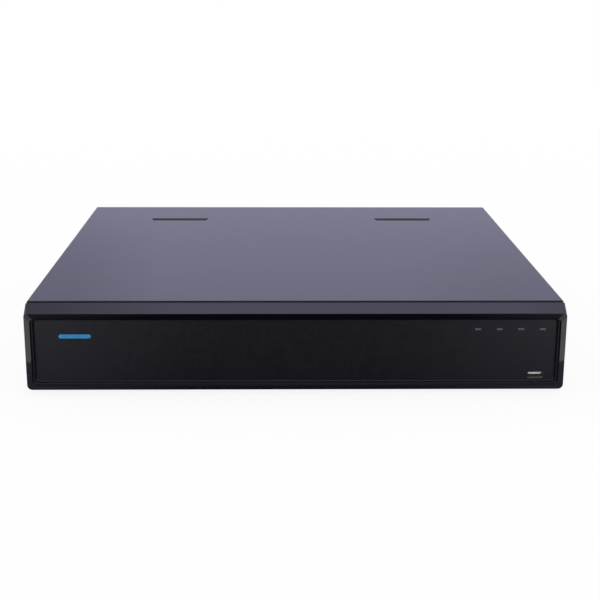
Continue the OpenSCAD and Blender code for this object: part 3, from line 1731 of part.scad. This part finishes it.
module disk_screws() {
    color([0.62, 0.62, 0.6])
    at_disks() for (s = [-1, 1], y = disk_screw_y)
        translate([s * (disk_w / 2 + disk_side_gap + bracket_t), disk_l - y, disk_screw_z])
            rotate([0, s * 90, 0]) screw(disk_screw_l, disk_screw_r, disk_head_r);
}

// Steel bridge over each stack: two walls with feet on the tray, and a top with an air window
module disk_brackets() {
    x0 = disk_w / 2 + disk_side_gap;
    x1 = x0 + bracket_t;
    window_w = 60;
    window_in = 30;
    color([0.7, 0.71, 0.72])
    for (x = disk_x) translate([x, disk_y, z_floor]) difference() {
        union() {
            both_sides() {
                box([x0, 0, 0], [x1, disk_l, bracket_h]);
                box([x0, 0, 0], [x1 + bracket_foot, disk_l, bracket_t]);
            }
            box([-x1, 0, bracket_h - bracket_t], [x1, disk_l, bracket_h]);
        }
        box([-window_w / 2, window_in, bracket_h - bracket_t - over],
            [window_w / 2, disk_l - window_in, bracket_h + over]);
        for (p = bracket_places())
            translate([p[0] - x, p[1] - disk_y, -over]) cylinder(r = screw_hole_r, h = bracket_t + 2 * over);
        for (z = disk_z, y = disk_screw_y)
            translate([-x1 - over, disk_l - y, z + disk_screw_z - z_floor])
                bar_x(disk_screw_r + fit, 2 * (x1 + over));
    }
}

front_bezel();
front_panel();
light_guide();
base_tray();
rear_panel();
top_cover();
cover_screws();
case_screws();
foot_front_left();
foot_front_right();
foot_rear_left();
foot_rear_right();
front_board();
status_leds();
usb_shells();
usb_tongues();
usb_contacts();
front_ribbon_cable();
main_board();
board_standoffs();
processor_heatsink();
codec_heatsink();
board_chips();
coin_cell();
sata_sockets();
sata_cables();
bnc_block();
bnc_shells();
bnc_inserts();
bnc_pins();
rca_shells();
rca_inserts();
vga_shell();
vga_insert();
vga_posts();
hdmi_shells();
hdmi_tongues();
network_shell();
network_insert();
alarm_header();
alarm_plug();
alarm_plug_screws();
power_inlet();
inlet_pins();
switch_frame();
power_rocker();
mains_wires();
power_harness();
psu_board();
psu_transformer();
psu_capacitors();
psu_heatsinks();
fan_frame();
fan_rotor();
fan_screws();
disk_bodies();
disk_lids();
disk_boards();
disk_brackets();
disk_screws();
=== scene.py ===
"""Looks of a video recorder: its finishes, its moulded bezel, the marks on it, the studio and the camera.

Everything is in metres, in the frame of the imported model: +X to the right, +Y to the rear, +Z up.
"""
import json
import math

import bmesh
import bpy
from mathutils import Matrix, Vector


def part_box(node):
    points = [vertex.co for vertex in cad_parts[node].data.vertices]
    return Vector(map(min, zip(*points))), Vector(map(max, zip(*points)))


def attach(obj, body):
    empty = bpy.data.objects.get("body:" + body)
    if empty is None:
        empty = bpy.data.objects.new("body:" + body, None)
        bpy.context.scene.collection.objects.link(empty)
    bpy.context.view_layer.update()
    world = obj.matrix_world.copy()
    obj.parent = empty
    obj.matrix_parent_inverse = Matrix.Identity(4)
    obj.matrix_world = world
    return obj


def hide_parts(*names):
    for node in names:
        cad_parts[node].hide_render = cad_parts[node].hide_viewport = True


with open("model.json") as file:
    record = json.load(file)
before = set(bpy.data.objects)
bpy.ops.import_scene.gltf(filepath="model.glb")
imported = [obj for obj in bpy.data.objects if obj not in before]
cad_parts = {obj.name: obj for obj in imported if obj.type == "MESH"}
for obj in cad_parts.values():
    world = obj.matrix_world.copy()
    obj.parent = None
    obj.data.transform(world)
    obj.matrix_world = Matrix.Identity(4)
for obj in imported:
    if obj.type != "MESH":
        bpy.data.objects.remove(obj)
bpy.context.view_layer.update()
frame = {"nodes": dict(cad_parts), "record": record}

MM = 0.001
EVEN = (1.0, 1.0, 1.0)
nodes = frame["nodes"]


def add_camera():
    """Camera at the photograph's viewpoint: in front, a little left of the middle, looking down."""
    place = Vector((-16.2, -1154.4, 338.6)) * MM
    yaw, pitch, roll = math.radians(1.155), math.radians(15.321), math.radians(0.260)
    sensor, focal = 36.0, 72.80
    nearest, farthest = 0.01, 100.0
    ahead = Vector((math.sin(yaw) * math.cos(pitch), math.cos(yaw) * math.cos(pitch), -math.sin(pitch)))
    level = Vector((math.cos(yaw), -math.sin(yaw), 0.0))
    upright = level.cross(ahead)
    right = math.cos(roll) * level + math.sin(roll) * upright
    up = math.cos(roll) * upright - math.sin(roll) * level
    camera = bpy.data.objects.new("camera", bpy.data.cameras.new("camera"))
    camera.data.sensor_width = sensor
    camera.data.lens = focal
    camera.data.clip_start = nearest
    camera.data.clip_end = farthest
    camera.matrix_world = Matrix.Translation(place) @ Matrix((right, up, -ahead)).transposed().to_4x4()
    bpy.context.scene.collection.objects.link(camera)
    bpy.context.scene.camera = camera


class Finish:
    """A material under construction: one Principled shader with procedural colour, roughness and relief."""

    IOR = 1.5
    NOISE_LOW, NOISE_HIGH = 0.3, 0.7

    def __init__(self, name, metallic=0.0, specular=0.5):
        self.material = bpy.data.materials.new(name)
        self.material.use_nodes = True
        self.tree = self.material.node_tree
        self.shader = self.tree.nodes["Principled BSDF"]
        self.shader.inputs["Metallic"].default_value = metallic
        self.shader.inputs["Specular IOR Level"].default_value = specular
        self.shader.inputs["IOR"].default_value = self.IOR
        self.places = self.tree.nodes.new("ShaderNodeTexCoord").outputs["Object"]

    def link(self, output, socket):
        self.tree.links.new(output, socket)

    def noise(self, size, detail=2.0, stretch=EVEN):
        """Noise with features of about this size, drawn out along an axis by stretch."""
        mapping = self.tree.nodes.new("ShaderNodeMapping")
        mapping.inputs["Scale"].default_value = [1.0 / s for s in stretch]
        self.link(self.places, mapping.inputs["Vector"])
        texture = self.tree.nodes.new("ShaderNodeTexNoise")
        texture.inputs["Scale"].default_value = 1.0 / size
        texture.inputs["Detail"].default_value = detail
        self.link(mapping.outputs["Vector"], texture.inputs["Vector"])
        return texture.outputs["Fac"]

    def cells(self, size):
        """Rounded cells of about this size, for the beads of a powder coat or a leather-like moulding."""
        texture = self.tree.nodes.new("ShaderNodeTexVoronoi")
        texture.inputs["Scale"].default_value = 1.0 / size
        self.link(self.places, texture.inputs["Vector"])
        return texture.outputs["Distance"]

    def between(self, fac, low, high):
        """The noise spread over a range of values."""
        spread = self.tree.nodes.new("ShaderNodeMapRange")
        spread.inputs["From Min"].default_value = self.NOISE_LOW
        spread.inputs["From Max"].default_value = self.NOISE_HIGH
        spread.inputs["To Min"].default_value = low
        spread.inputs["To Max"].default_value = high
        self.link(fac, spread.inputs["Value"])
        return spread.outputs["Result"]

    def color(self, fac, low, high):
        """The noise as a blend between two colours."""
        ramp = self.tree.nodes.new("ShaderNodeValToRGB")
        ramp.color_ramp.elements[0].position = self.NOISE_LOW
        ramp.color_ramp.elements[0].color = (*low, 1.0)
        ramp.color_ramp.elements[1].position = self.NOISE_HIGH
        ramp.color_ramp.elements[1].color = (*high, 1.0)
        self.link(fac, ramp.inputs["Fac"])
        self.link(ramp.outputs["Color"], self.shader.inputs["Base Color"])

    def mottle(self, fac, color, spread):
        """The noise as a little variation round one colour."""
        self.color(fac, [c * (1.0 - spread) for c in color], [c * (1.0 + spread) for c in color])

    def rough(self, fac, low, high):
        """The noise as a range of roughness."""
        self.link(self.between(fac, low, high), self.shader.inputs["Roughness"])

    def relief(self, fac, height, strength):
        """The noise as bumps of this height."""
        bump = self.tree.nodes.new("ShaderNodeBump")
        bump.inputs["Distance"].default_value = height
        bump.inputs["Strength"].default_value = strength
        self.link(fac, bump.inputs["Height"])
        self.link(bump.outputs["Normal"], self.shader.inputs["Normal"])


def powder_coat(name, color):
    """Fine textured powder coat on sheet steel: satin, with a faint orange peel and cloudy gloss."""
    made = Finish(name)
    made.mottle(made.noise(0.05, detail=3.0), color, spread=0.06)
    made.rough(made.noise(0.012, detail=4.0), low=0.14, high=0.18)
    made.relief(made.noise(0.0009, detail=3.0), height=0.00003, strength=0.35)
    return made.material


def gloss_moulding(name, color):
    """Semi-gloss moulded plastic, with the slight waviness of a moulding and a few dull patches."""
    made = Finish(name)
    made.mottle(made.noise(0.03), color, spread=0.15)
    made.rough(made.noise(0.008, detail=4.0), low=0.06, high=0.10)
    made.relief(made.noise(0.006), height=0.00001, strength=0.15)
    return made.material


def satin_moulding(name, color, rough=(0.38, 0.48)):
    """Moulded plastic with a spark-eroded grain."""
    made = Finish(name)
    made.mottle(made.noise(0.02, detail=3.0), color, spread=0.12)
    made.rough(made.noise(0.004, detail=3.0), *rough)
    made.relief(made.cells(0.0005), height=0.00002, strength=0.3)
    return made.material


def plated_metal(name, color, rough=(0.16, 0.26), stretch=(6.0, 1.0, 1.0)):
    """Plated metal with faint drawing lines and cloudy gloss."""
    made = Finish(name, metallic=1.0)
    made.mottle(made.noise(0.006, detail=3.0), color, spread=0.08)
    lines = made.noise(0.0003, stretch=stretch)
    made.rough(lines, *rough)
    made.relief(lines, height=0.000004, strength=0.2)
    return made.material


def soft_rubber(name, color):
    """Matt rubber with a dusty bloom."""
    made = Finish(name, specular=0.3)
    bloom = [c * 1.8 + 0.004 for c in color]
    made.color(made.noise(0.006, detail=4.0), color, bloom)
    made.rough(made.noise(0.003), low=0.7, high=0.85)
    made.relief(made.noise(0.0006, detail=3.0), height=0.00004, strength=0.4)
    return made.material


def clear_window(name, color):
    """Milky light guide that passes a little light."""
    made = Finish(name)
    made.mottle(made.noise(0.002), color, spread=0.12)
    made.rough(made.noise(0.001), low=0.22, high=0.32)
    made.relief(made.noise(0.0008), height=0.00001, strength=0.2)
    made.shader.inputs["Subsurface Weight"].default_value = 0.2
    made.shader.inputs["Subsurface Radius"].default_value = (MM, MM, MM)
    return made.material


def solder_mask(name, color):
    """Circuit board: glossy mask over a faint grid of tracks."""
    made = Finish(name)
    ground, track = [c * 0.7 for c in color], [c * 1.5 for c in color]
    made.color(made.cells(0.0025), ground, track)
    made.rough(made.noise(0.003), low=0.25, high=0.4)
    made.relief(made.cells(0.0012), height=0.00003, strength=0.4)
    return made.material


FINISHES = {
    "painted_steel": lambda n: powder_coat(n, (0.030, 0.029, 0.042)),
    "bezel_plastic": lambda n: gloss_moulding(n, (0.0026, 0.0024, 0.0038)),
    "panel_plastic": lambda n: satin_moulding(n, (0.0030, 0.0026, 0.0052), rough=(0.30, 0.38)),
    "clear_plastic": lambda n: clear_window(n, (0.075, 0.105, 0.13)),
    "bare_steel": lambda n: plated_metal(n, (0.60, 0.60, 0.59)),
    "black_steel": lambda n: satin_moulding(n, (0.02, 0.02, 0.022), rough=(0.3, 0.45)),
    "nickel": lambda n: plated_metal(n, (0.72, 0.71, 0.68)),
    "gold": lambda n: plated_metal(n, (0.78, 0.48, 0.20)),
    "rubber": lambda n: soft_rubber(n, (0.012, 0.012, 0.013)),
    "black_plastic": lambda n: satin_moulding(n, (0.014, 0.014, 0.015)),
    "white_plastic": lambda n: satin_moulding(n, (0.80, 0.79, 0.75)),
    "green_plastic": lambda n: satin_moulding(n, (0.020, 0.22, 0.060)),
    "blue_plastic": lambda n: satin_moulding(n, (0.020, 0.060, 0.36)),
    "red_plastic": lambda n: satin_moulding(n, (0.42, 0.022, 0.018)),
    "circuit_board": lambda n: solder_mask(n, (0.012, 0.10, 0.045)),
    "brown_board": lambda n: solder_mask(n, (0.22, 0.13, 0.045)),
    "cast_aluminium": lambda n: plated_metal(n, (0.52, 0.53, 0.55), rough=(0.35, 0.5), stretch=EVEN),
    "fin_aluminium": lambda n: plated_metal(n, (0.05, 0.05, 0.055), rough=(0.3, 0.42)),
    "winding_tape": lambda n: satin_moulding(n, (0.50, 0.36, 0.04), rough=(0.3, 0.4)),
    "wire": lambda n: soft_rubber(n, (0.02, 0.02, 0.02)),
    "wire_yellow": lambda n: soft_rubber(n, (0.40, 0.28, 0.03)),
}
materials = {name: make(name) for name, make in FINISHES.items()}


def dress(obj, material):
    """Give an object one material."""
    obj.data.materials.clear()
    obj.data.materials.append(material)


def soften(obj, width, segments=2, angle=30.0):
    """Round the sharp edges of a solid without touching its mesh."""
    weld = obj.modifiers.new("weld", "WELD")
    weld.merge_threshold = 0.002 * MM
    bevel = obj.modifiers.new("bevel", "BEVEL")
    bevel.width = width
    bevel.segments = segments
    bevel.limit_method = "ANGLE"
    bevel.angle_limit = math.radians(angle)
    bevel.use_clamp_overlap = True
    bevel.miter_outer = "MITER_ARC"
    bevel.harden_normals = True


EDGE = {
    "top_cover": 0.25 * MM,
    "light_guide": 0.08 * MM,
    "usb_shells": 0.08 * MM,
    "usb_tongues": 0.12 * MM,
    "power_inlet": 0.3 * MM,
    "switch_frame": 0.3 * MM,
    "power_rocker": 0.3 * MM,
    "alarm_plug": 0.2 * MM,
    "alarm_header": 0.15 * MM,
    "network_insert": 0.1 * MM,
    "vga_shell": 0.1 * MM,
    "hdmi_shells": 0.08 * MM,
    "fan_frame": 0.3 * MM,
}


def dress_nodes():
    """Give each CAD node the finish of its slot, and round the edges of those that show theirs."""
    for subpart in frame["record"]["subparts"]:
        name = subpart["node"]
        dress(nodes[name], materials[subpart["material_slot"]])
        if name in EDGE:
            soften(nodes[name], EDGE[name])


def ring(half_x, low, high, y, r_low, r_high, steps=6):
    """Points round an upright rectangle with round corners, anticlockwise from the lower left corner."""
    points = []
    z_low, z_high = low + r_low, high - r_high
    corners = [
        (-1, z_low, r_low, 180.0),
        (1, z_low, r_low, 270.0),
        (1, z_high, r_high, 0.0),
        (-1, z_high, r_high, 90.0),
    ]
    for side, z, r, start in corners:
        middle = Vector((side * (half_x - r), y, z))
        for k in range(steps + 1):
            turn = math.radians(start + 90.0 * k / steps)
            points.append(middle + Vector((r * math.cos(turn), 0.0, r * math.sin(turn))))
    return points


def add_mesh(name, mesh):
    """Object made of a finished bmesh, with its faces turned outwards."""
    bmesh.ops.recalc_face_normals(mesh, faces=mesh.faces)
    data = bpy.data.meshes.new(name)
    mesh.to_mesh(data)
    mesh.free()
    obj = bpy.data.objects.new(name, data)
    bpy.context.scene.collection.objects.link(obj)
    return obj


def loft(name, rings):
    """Closed band of quads through the rings, the last joined to the first."""
    mesh = bmesh.new()
    loops = [[mesh.verts.new(p) for p in points] for points in rings]
    count = len(loops[0])
    for a, b in zip(loops, loops[1:] + loops[:1]):
        for i in range(count):
            j = (i + 1) % count
            mesh.faces.new((a[i], a[j], b[j], b[i]))
    for face in mesh.faces:
        face.smooth = True
    return add_mesh(name, mesh)


def make_bezel():
    """Front moulding: top chamfer, bevelled rim and a recess whose side steps down to the panel."""
    low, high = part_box("front_bezel")
    panel_low, panel_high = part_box("front_panel")
    chamfer_drop = 6.2 * MM
    rim_run, rim, rim_side = 2.6 * MM, 4.2 * MM, 4.9 * MM
    corner_r, shoulder_r, top_r, crest_r, edge_r = 4.2 * MM, 2.6 * MM, 0.6 * MM, 3.0 * MM, 1.0 * MM
    seat_gap, seat_r, wall = 0.2 * MM, 2.1 * MM, 2.5 * MM
    front, back = low.y, high.y
    shoulder = high.z - chamfer_drop
    crest_x, crest_low, crest_high = high.x - rim_side, low.z + rim, shoulder - rim
    seat_x, seat_depth = panel_high.x + seat_gap, panel_low.y - front
    seat_low, seat_high = panel_low.z - seat_gap, panel_high.z + seat_gap
    inner_x, inner_low, inner_high = seat_x - wall, seat_low + wall, seat_high - wall

    def recess(share, depth, r):
        """Ring on the side of the recess, this share of the way from the crest to the panel's seat.

        The step runs round the foot and the ends, and the top is one slope."""
        slope = min(1.0, depth / seat_depth)
        x = crest_x + (seat_x - crest_x) * share
        z0 = crest_low + (seat_low - crest_low) * share
        z1 = crest_high + (seat_high - crest_high) * slope
        return ring(x, z0, z1, front + depth, r, r)

    outside = [
        ring(high.x, low.z, high.z, back, corner_r, top_r),
        ring(high.x, low.z, shoulder, front + rim_run, corner_r, shoulder_r),
        ring(crest_x, crest_low, crest_high, front, crest_r, crest_r),
    ]
    sides = [
        recess(share=0.03, depth=0.0, r=crest_r),
        recess(share=0.34, depth=2.2 * MM, r=2.8 * MM),
        recess(share=0.68, depth=2.3 * MM, r=2.6 * MM),
        recess(share=0.88, depth=4.3 * MM, r=2.3 * MM),
        recess(share=1.00, depth=seat_depth, r=seat_r),
        recess(share=1.00, depth=seat_depth + wall, r=seat_r),
    ]
    inside = [
        ring(inner_x, inner_low, inner_high, back - 2.0 * wall, edge_r, edge_r),
        ring(inner_x, inner_low, inner_high, back, edge_r, edge_r),
    ]
    bezel = loft("front_moulding", outside + sides + inside)
    bezel.data.materials.append(materials["bezel_plastic"])
    bezel.data.materials.append(materials["panel_plastic"])
    satin_bands = range(len(outside), len(outside) + len(sides) - 1)
    for k, face in enumerate(bezel.data.polygons):
        face.material_index = 1 if k // len(outside[0]) in satin_bands else 0
    soften(bezel, width=0.35 * MM, segments=3, angle=18.0)
    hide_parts("front_bezel")
    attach(bezel, "chassis")


def print_mark(name, loops, place, normal, material):
    """Thin raised print on a face: an outline of points across and up it, and perhaps a hole."""
    thickness = 0.06 * MM
    across = Vector((0.0, 0.0, 1.0)).cross(normal).normalized()
    up = normal.cross(across)
    mesh = bmesh.new()
    levels = []
    for height in (0.0, thickness):
        base = place + height * normal
        levels.append([[mesh.verts.new(base + a * across + b * up) for a, b in loop] for loop in loops])
    count = len(loops[0])
    for i in range(count):
        j = (i + 1) % count
        for k in range(len(loops)):
            mesh.faces.new((levels[0][k][i], levels[0][k][j], levels[1][k][j], levels[1][k][i]))
        if len(loops) == 2:
            for level in levels:
                mesh.faces.new((level[0][i], level[0][j], level[1][j], level[1][i]))
    if len(loops) == 1:
        for level in levels:
            mesh.faces.new(level[0])
    obj = add_mesh(name, mesh)
    obj.data.materials.append(material)
    return obj


def pill(length, height, steps=12):
    """Outline of a bar with round ends about the origin."""
    r = height / 2
    ends = [(r - length / 2, 90.0), (length / 2 - r, 270.0)]
    turns = [(x, math.radians(start + 180.0 * k / steps)) for x, start in ends for k in range(steps + 1)]
    return [(x + r * math.cos(turn), r * math.sin(turn)) for x, turn in turns]


def ink(name, color):
    """Screen-printed ink, slightly uneven."""
    made = Finish(name)
    made.mottle(made.noise(0.004), color, spread=0.10)
    made.rough(made.noise(0.002), low=0.35, high=0.45)
    made.relief(made.noise(0.0005), height=0.000005, strength=0.2)
    return made.material


def make_stripe():
    """Plain blue bar printed at the upper left of the panel."""
    panel_low, panel_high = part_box("front_panel")
    length, height = 26.0 * MM, 3.4 * MM
    from_left, from_top = 32.2 * MM, 13.7 * MM
    place = Vector((panel_low.x + from_left, panel_low.y, panel_high.z - from_top))
    facing = Vector((0.0, -1.0, 0.0))
    blue = ink("blue_print", (0.003, 0.25, 0.52))
    stripe = print_mark("front_stripe", [pill(length, height)], place, facing, blue)
    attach(stripe, "chassis")


def make_switch_marks():
    """White on and off marks on the two halves of the mains rocker."""
    low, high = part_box("power_rocker")
    middle = (low + high) / 2
    size, line = 4.2 * MM, 0.9 * MM
    reach = 0.25 * (high.z - low.z)
    white = ink("white_print", (0.75, 0.75, 0.73))
    bar = [(-line / 2, -size / 2), (line / 2, -size / 2), (line / 2, size / 2), (-line / 2, size / 2)]
    rings = [[(r * math.cos(math.radians(t)), r * math.sin(math.radians(t))) for t in range(0, 360, 15)]
             for r in (size / 2, size / 2 - line)]
    bpy.context.view_layer.update()
    for name, side, loops in (("mark_on", 1, [bar]), ("mark_off", -1, rings)):
        behind = Vector((middle.x, high.y + size, middle.z + side * reach))
        _, place, normal, _ = nodes["power_rocker"].ray_cast(behind, Vector((0.0, -1.0, 0.0)))
        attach(print_mark(name, loops, place, normal, white), "rocker")


def light(name, place, aim, size, strength):
    """Soft square lamp that gives this radiance over its face."""
    lamp = bpy.data.lights.new(name, "AREA")
    lamp.shape = "SQUARE"
    lamp.size = size
    lamp.energy = strength * math.pi * size * size
    obj = bpy.data.objects.new(name, lamp)
    obj.location = place
    obj.rotation_euler = (Vector(aim) - Vector(place)).to_track_quat("-Z", "Y").to_euler()
    bpy.context.scene.collection.objects.link(obj)


def seen_directly(tree):
    """1 for a ray from the camera, a mirror or glass, and 0 for a ray that gathers light for a surface."""
    path = tree.nodes.new("ShaderNodeLightPath")
    total = path.outputs["Is Camera Ray"]
    for kind in ("Is Glossy Ray", "Is Transmission Ray"):
        most = tree.nodes.new("ShaderNodeMath")
        most.operation = "MAXIMUM"
        tree.links.new(total, most.inputs[0])
        tree.links.new(path.outputs[kind], most.inputs[1])
        total = most.outputs[0]
    return total


def add_sheet(name, width, height):
    """Flat sheet round the origin, facing up, and the empty node tree of its material."""
    w, h = width / 2, height / 2
    mesh = bpy.data.meshes.new(name)
    mesh.from_pydata([(-w, -h, 0), (w, -h, 0), (w, h, 0), (-w, h, 0)], [], [(0, 1, 2, 3)])
    sheet = bpy.data.objects.new(name, mesh)
    bpy.context.scene.collection.objects.link(sheet)
    material = bpy.data.materials.new(name)
    material.use_nodes = True
    material.node_tree.nodes.clear()
    mesh.materials.append(material)
    return sheet, material.node_tree


def make_card(name, place, facing, width, height, middle, ends, even=0.5):
    """Studio card that shows only in reflections, shaded from its even middle to its two ends."""
    card, tree = add_sheet(name, width, height)
    card.location = place
    card.rotation_euler = Vector(facing).to_track_quat("Z", "Y").to_euler()
    across = tree.nodes.new("ShaderNodeMapping")
    across.inputs["Scale"].default_value = (2.0 / width, 0.0, 0.0)
    fade = tree.nodes.new("ShaderNodeTexGradient")
    fade.gradient_type = "SPHERICAL"
    ramp = tree.nodes.new("ShaderNodeValToRGB")
    ramp.color_ramp.elements[0].color = (*ends, 1.0)
    ramp.color_ramp.elements[1].color = (*middle, 1.0)
    ramp.color_ramp.elements[1].position = 1.0 - even
    glow = tree.nodes.new("ShaderNodeEmission")
    output = tree.nodes.new("ShaderNodeOutputMaterial")
    tree.links.new(tree.nodes.new("ShaderNodeTexCoord").outputs["Object"], across.inputs["Vector"])
    tree.links.new(across.outputs["Vector"], fade.inputs["Vector"])
    tree.links.new(fade.outputs["Fac"], ramp.inputs["Fac"])
    tree.links.new(ramp.outputs["Color"], glow.inputs["Color"])
    tree.links.new(glow.outputs[0], output.inputs["Surface"])
    card.visible_camera = False
    card.visible_diffuse = False
    card.visible_shadow = False


def make_world(fill):
    """White surroundings that light the object with less than they show."""
    world = bpy.data.worlds.new("studio")
    world.use_nodes = True
    bpy.context.scene.world = world
    tree = world.node_tree
    back = tree.nodes["Background"]
    back.inputs["Color"].default_value = (1.0, 1.0, 1.0, 1.0)
    level = tree.nodes.new("ShaderNodeMapRange")
    level.inputs["To Min"].default_value = fill
    level.inputs["To Max"].default_value = 1.0
    tree.links.new(seen_directly(tree), level.inputs["Value"])
    tree.links.new(level.outputs["Result"], back.inputs["Strength"])


def make_floor():
    """White floor that shows as white and keeps a faint shadow."""
    size, shown, far = 30.0, 0.88, 1.6
    paper_white = (0.96, 0.96, 0.96, 1.0)
    floor, tree = add_sheet("floor", size, size)
    paper = tree.nodes.new("ShaderNodeBsdfDiffuse")
    paper.inputs["Color"].default_value = paper_white
    glow = tree.nodes.new("ShaderNodeEmission")
    mix = tree.nodes.new("ShaderNodeMixShader")
    away = tree.nodes.new("ShaderNodeVectorMath")
    away.operation = "LENGTH"
    tree.links.new(tree.nodes.new("ShaderNodeTexCoord").outputs["Object"], away.inputs[0])
    white = tree.nodes.new("ShaderNodeMapRange")
    white.inputs["From Min"].default_value = 0.0
    white.inputs["From Max"].default_value = far
    white.inputs["To Min"].default_value = shown
    white.inputs["To Max"].default_value = 1.0
    tree.links.new(away.outputs["Value"], white.inputs["Value"])
    share = tree.nodes.new("ShaderNodeMath")
    share.operation = "MULTIPLY"
    output = tree.nodes.new("ShaderNodeOutputMaterial")
    tree.links.new(seen_directly(tree), share.inputs[0])
    tree.links.new(white.outputs["Result"], share.inputs[1])
    tree.links.new(share.outputs[0], mix.inputs["Fac"])
    tree.links.new(paper.outputs[0], mix.inputs[1])
    tree.links.new(glow.outputs[0], mix.inputs[2])
    tree.links.new(mix.outputs[0], output.inputs["Surface"])


def make_cards():
    """Cards round the recorder, as in a photographer's studio: dark in front, pale behind and above."""
    up, forward, down = (0.0, 0.0, 1.0), (0.0, -1.0, 0.0), (0.0, 0.0, -1.0)
    to_front = (0.0, 0.84, -0.884)
    low, lower = 0.001, 0.0005
    black, slate = (0.004, 0.004, 0.005), (0.22, 0.22, 0.28)
    dark, dim = (0.08, 0.075, 0.115), (0.36, 0.34, 0.46)
    white, rose = (1.0, 1.0, 1.0), (1.45, 1.28, 1.41)
    lilac, pale = (0.54, 0.535, 0.735), (0.85, 0.85, 0.95)
    dusk, mauve = (0.42, 0.41, 0.575), (0.48, 0.475, 0.65)
    bright, shade = (1.36, 1.33, 1.88), (0.68, 0.66, 0.94)
    make_card("flag_above", (0.0, -1.05, 0.95), to_front, 1.22, 0.46, black, slate)
    make_card("flag_front", (0.0, -0.72, low), up, 0.586, 1.02, dark, dim, even=0.3)
    make_card("panel_left", (-0.38, -0.35, lower), up, 0.36, 0.40, rose, white, even=0.6)
    make_card("panel_right", (0.38, -0.35, lower), up, 0.36, 0.40, rose, white, even=0.6)
    make_card("panel_behind", (0.0, 1.8, 0.75), forward, 6.0, 1.5, lilac, pale)
    make_card("shade_left", (-0.75, 1.79, 0.94), forward, 0.9, 1.0, dusk, lilac)
    make_card("shade_right", (0.75, 1.79, 0.98), forward, 0.9, 1.0, mauve, lilac)
    make_card("panel_above", (0.2, 0.1, 2.1), down, 2.2, 3.0, bright, shade)


add_camera()
dress_nodes()
make_bezel()
make_stripe()
make_switch_marks()
make_world(fill=0.78)
make_floor()
make_cards()
light("overhead", place=(0.0, 0.1, 2.2), aim=(0.0, 0.0, 0.0), size=3.6, strength=0.42)
bpy.context.scene.view_settings.view_transform = "Standard"
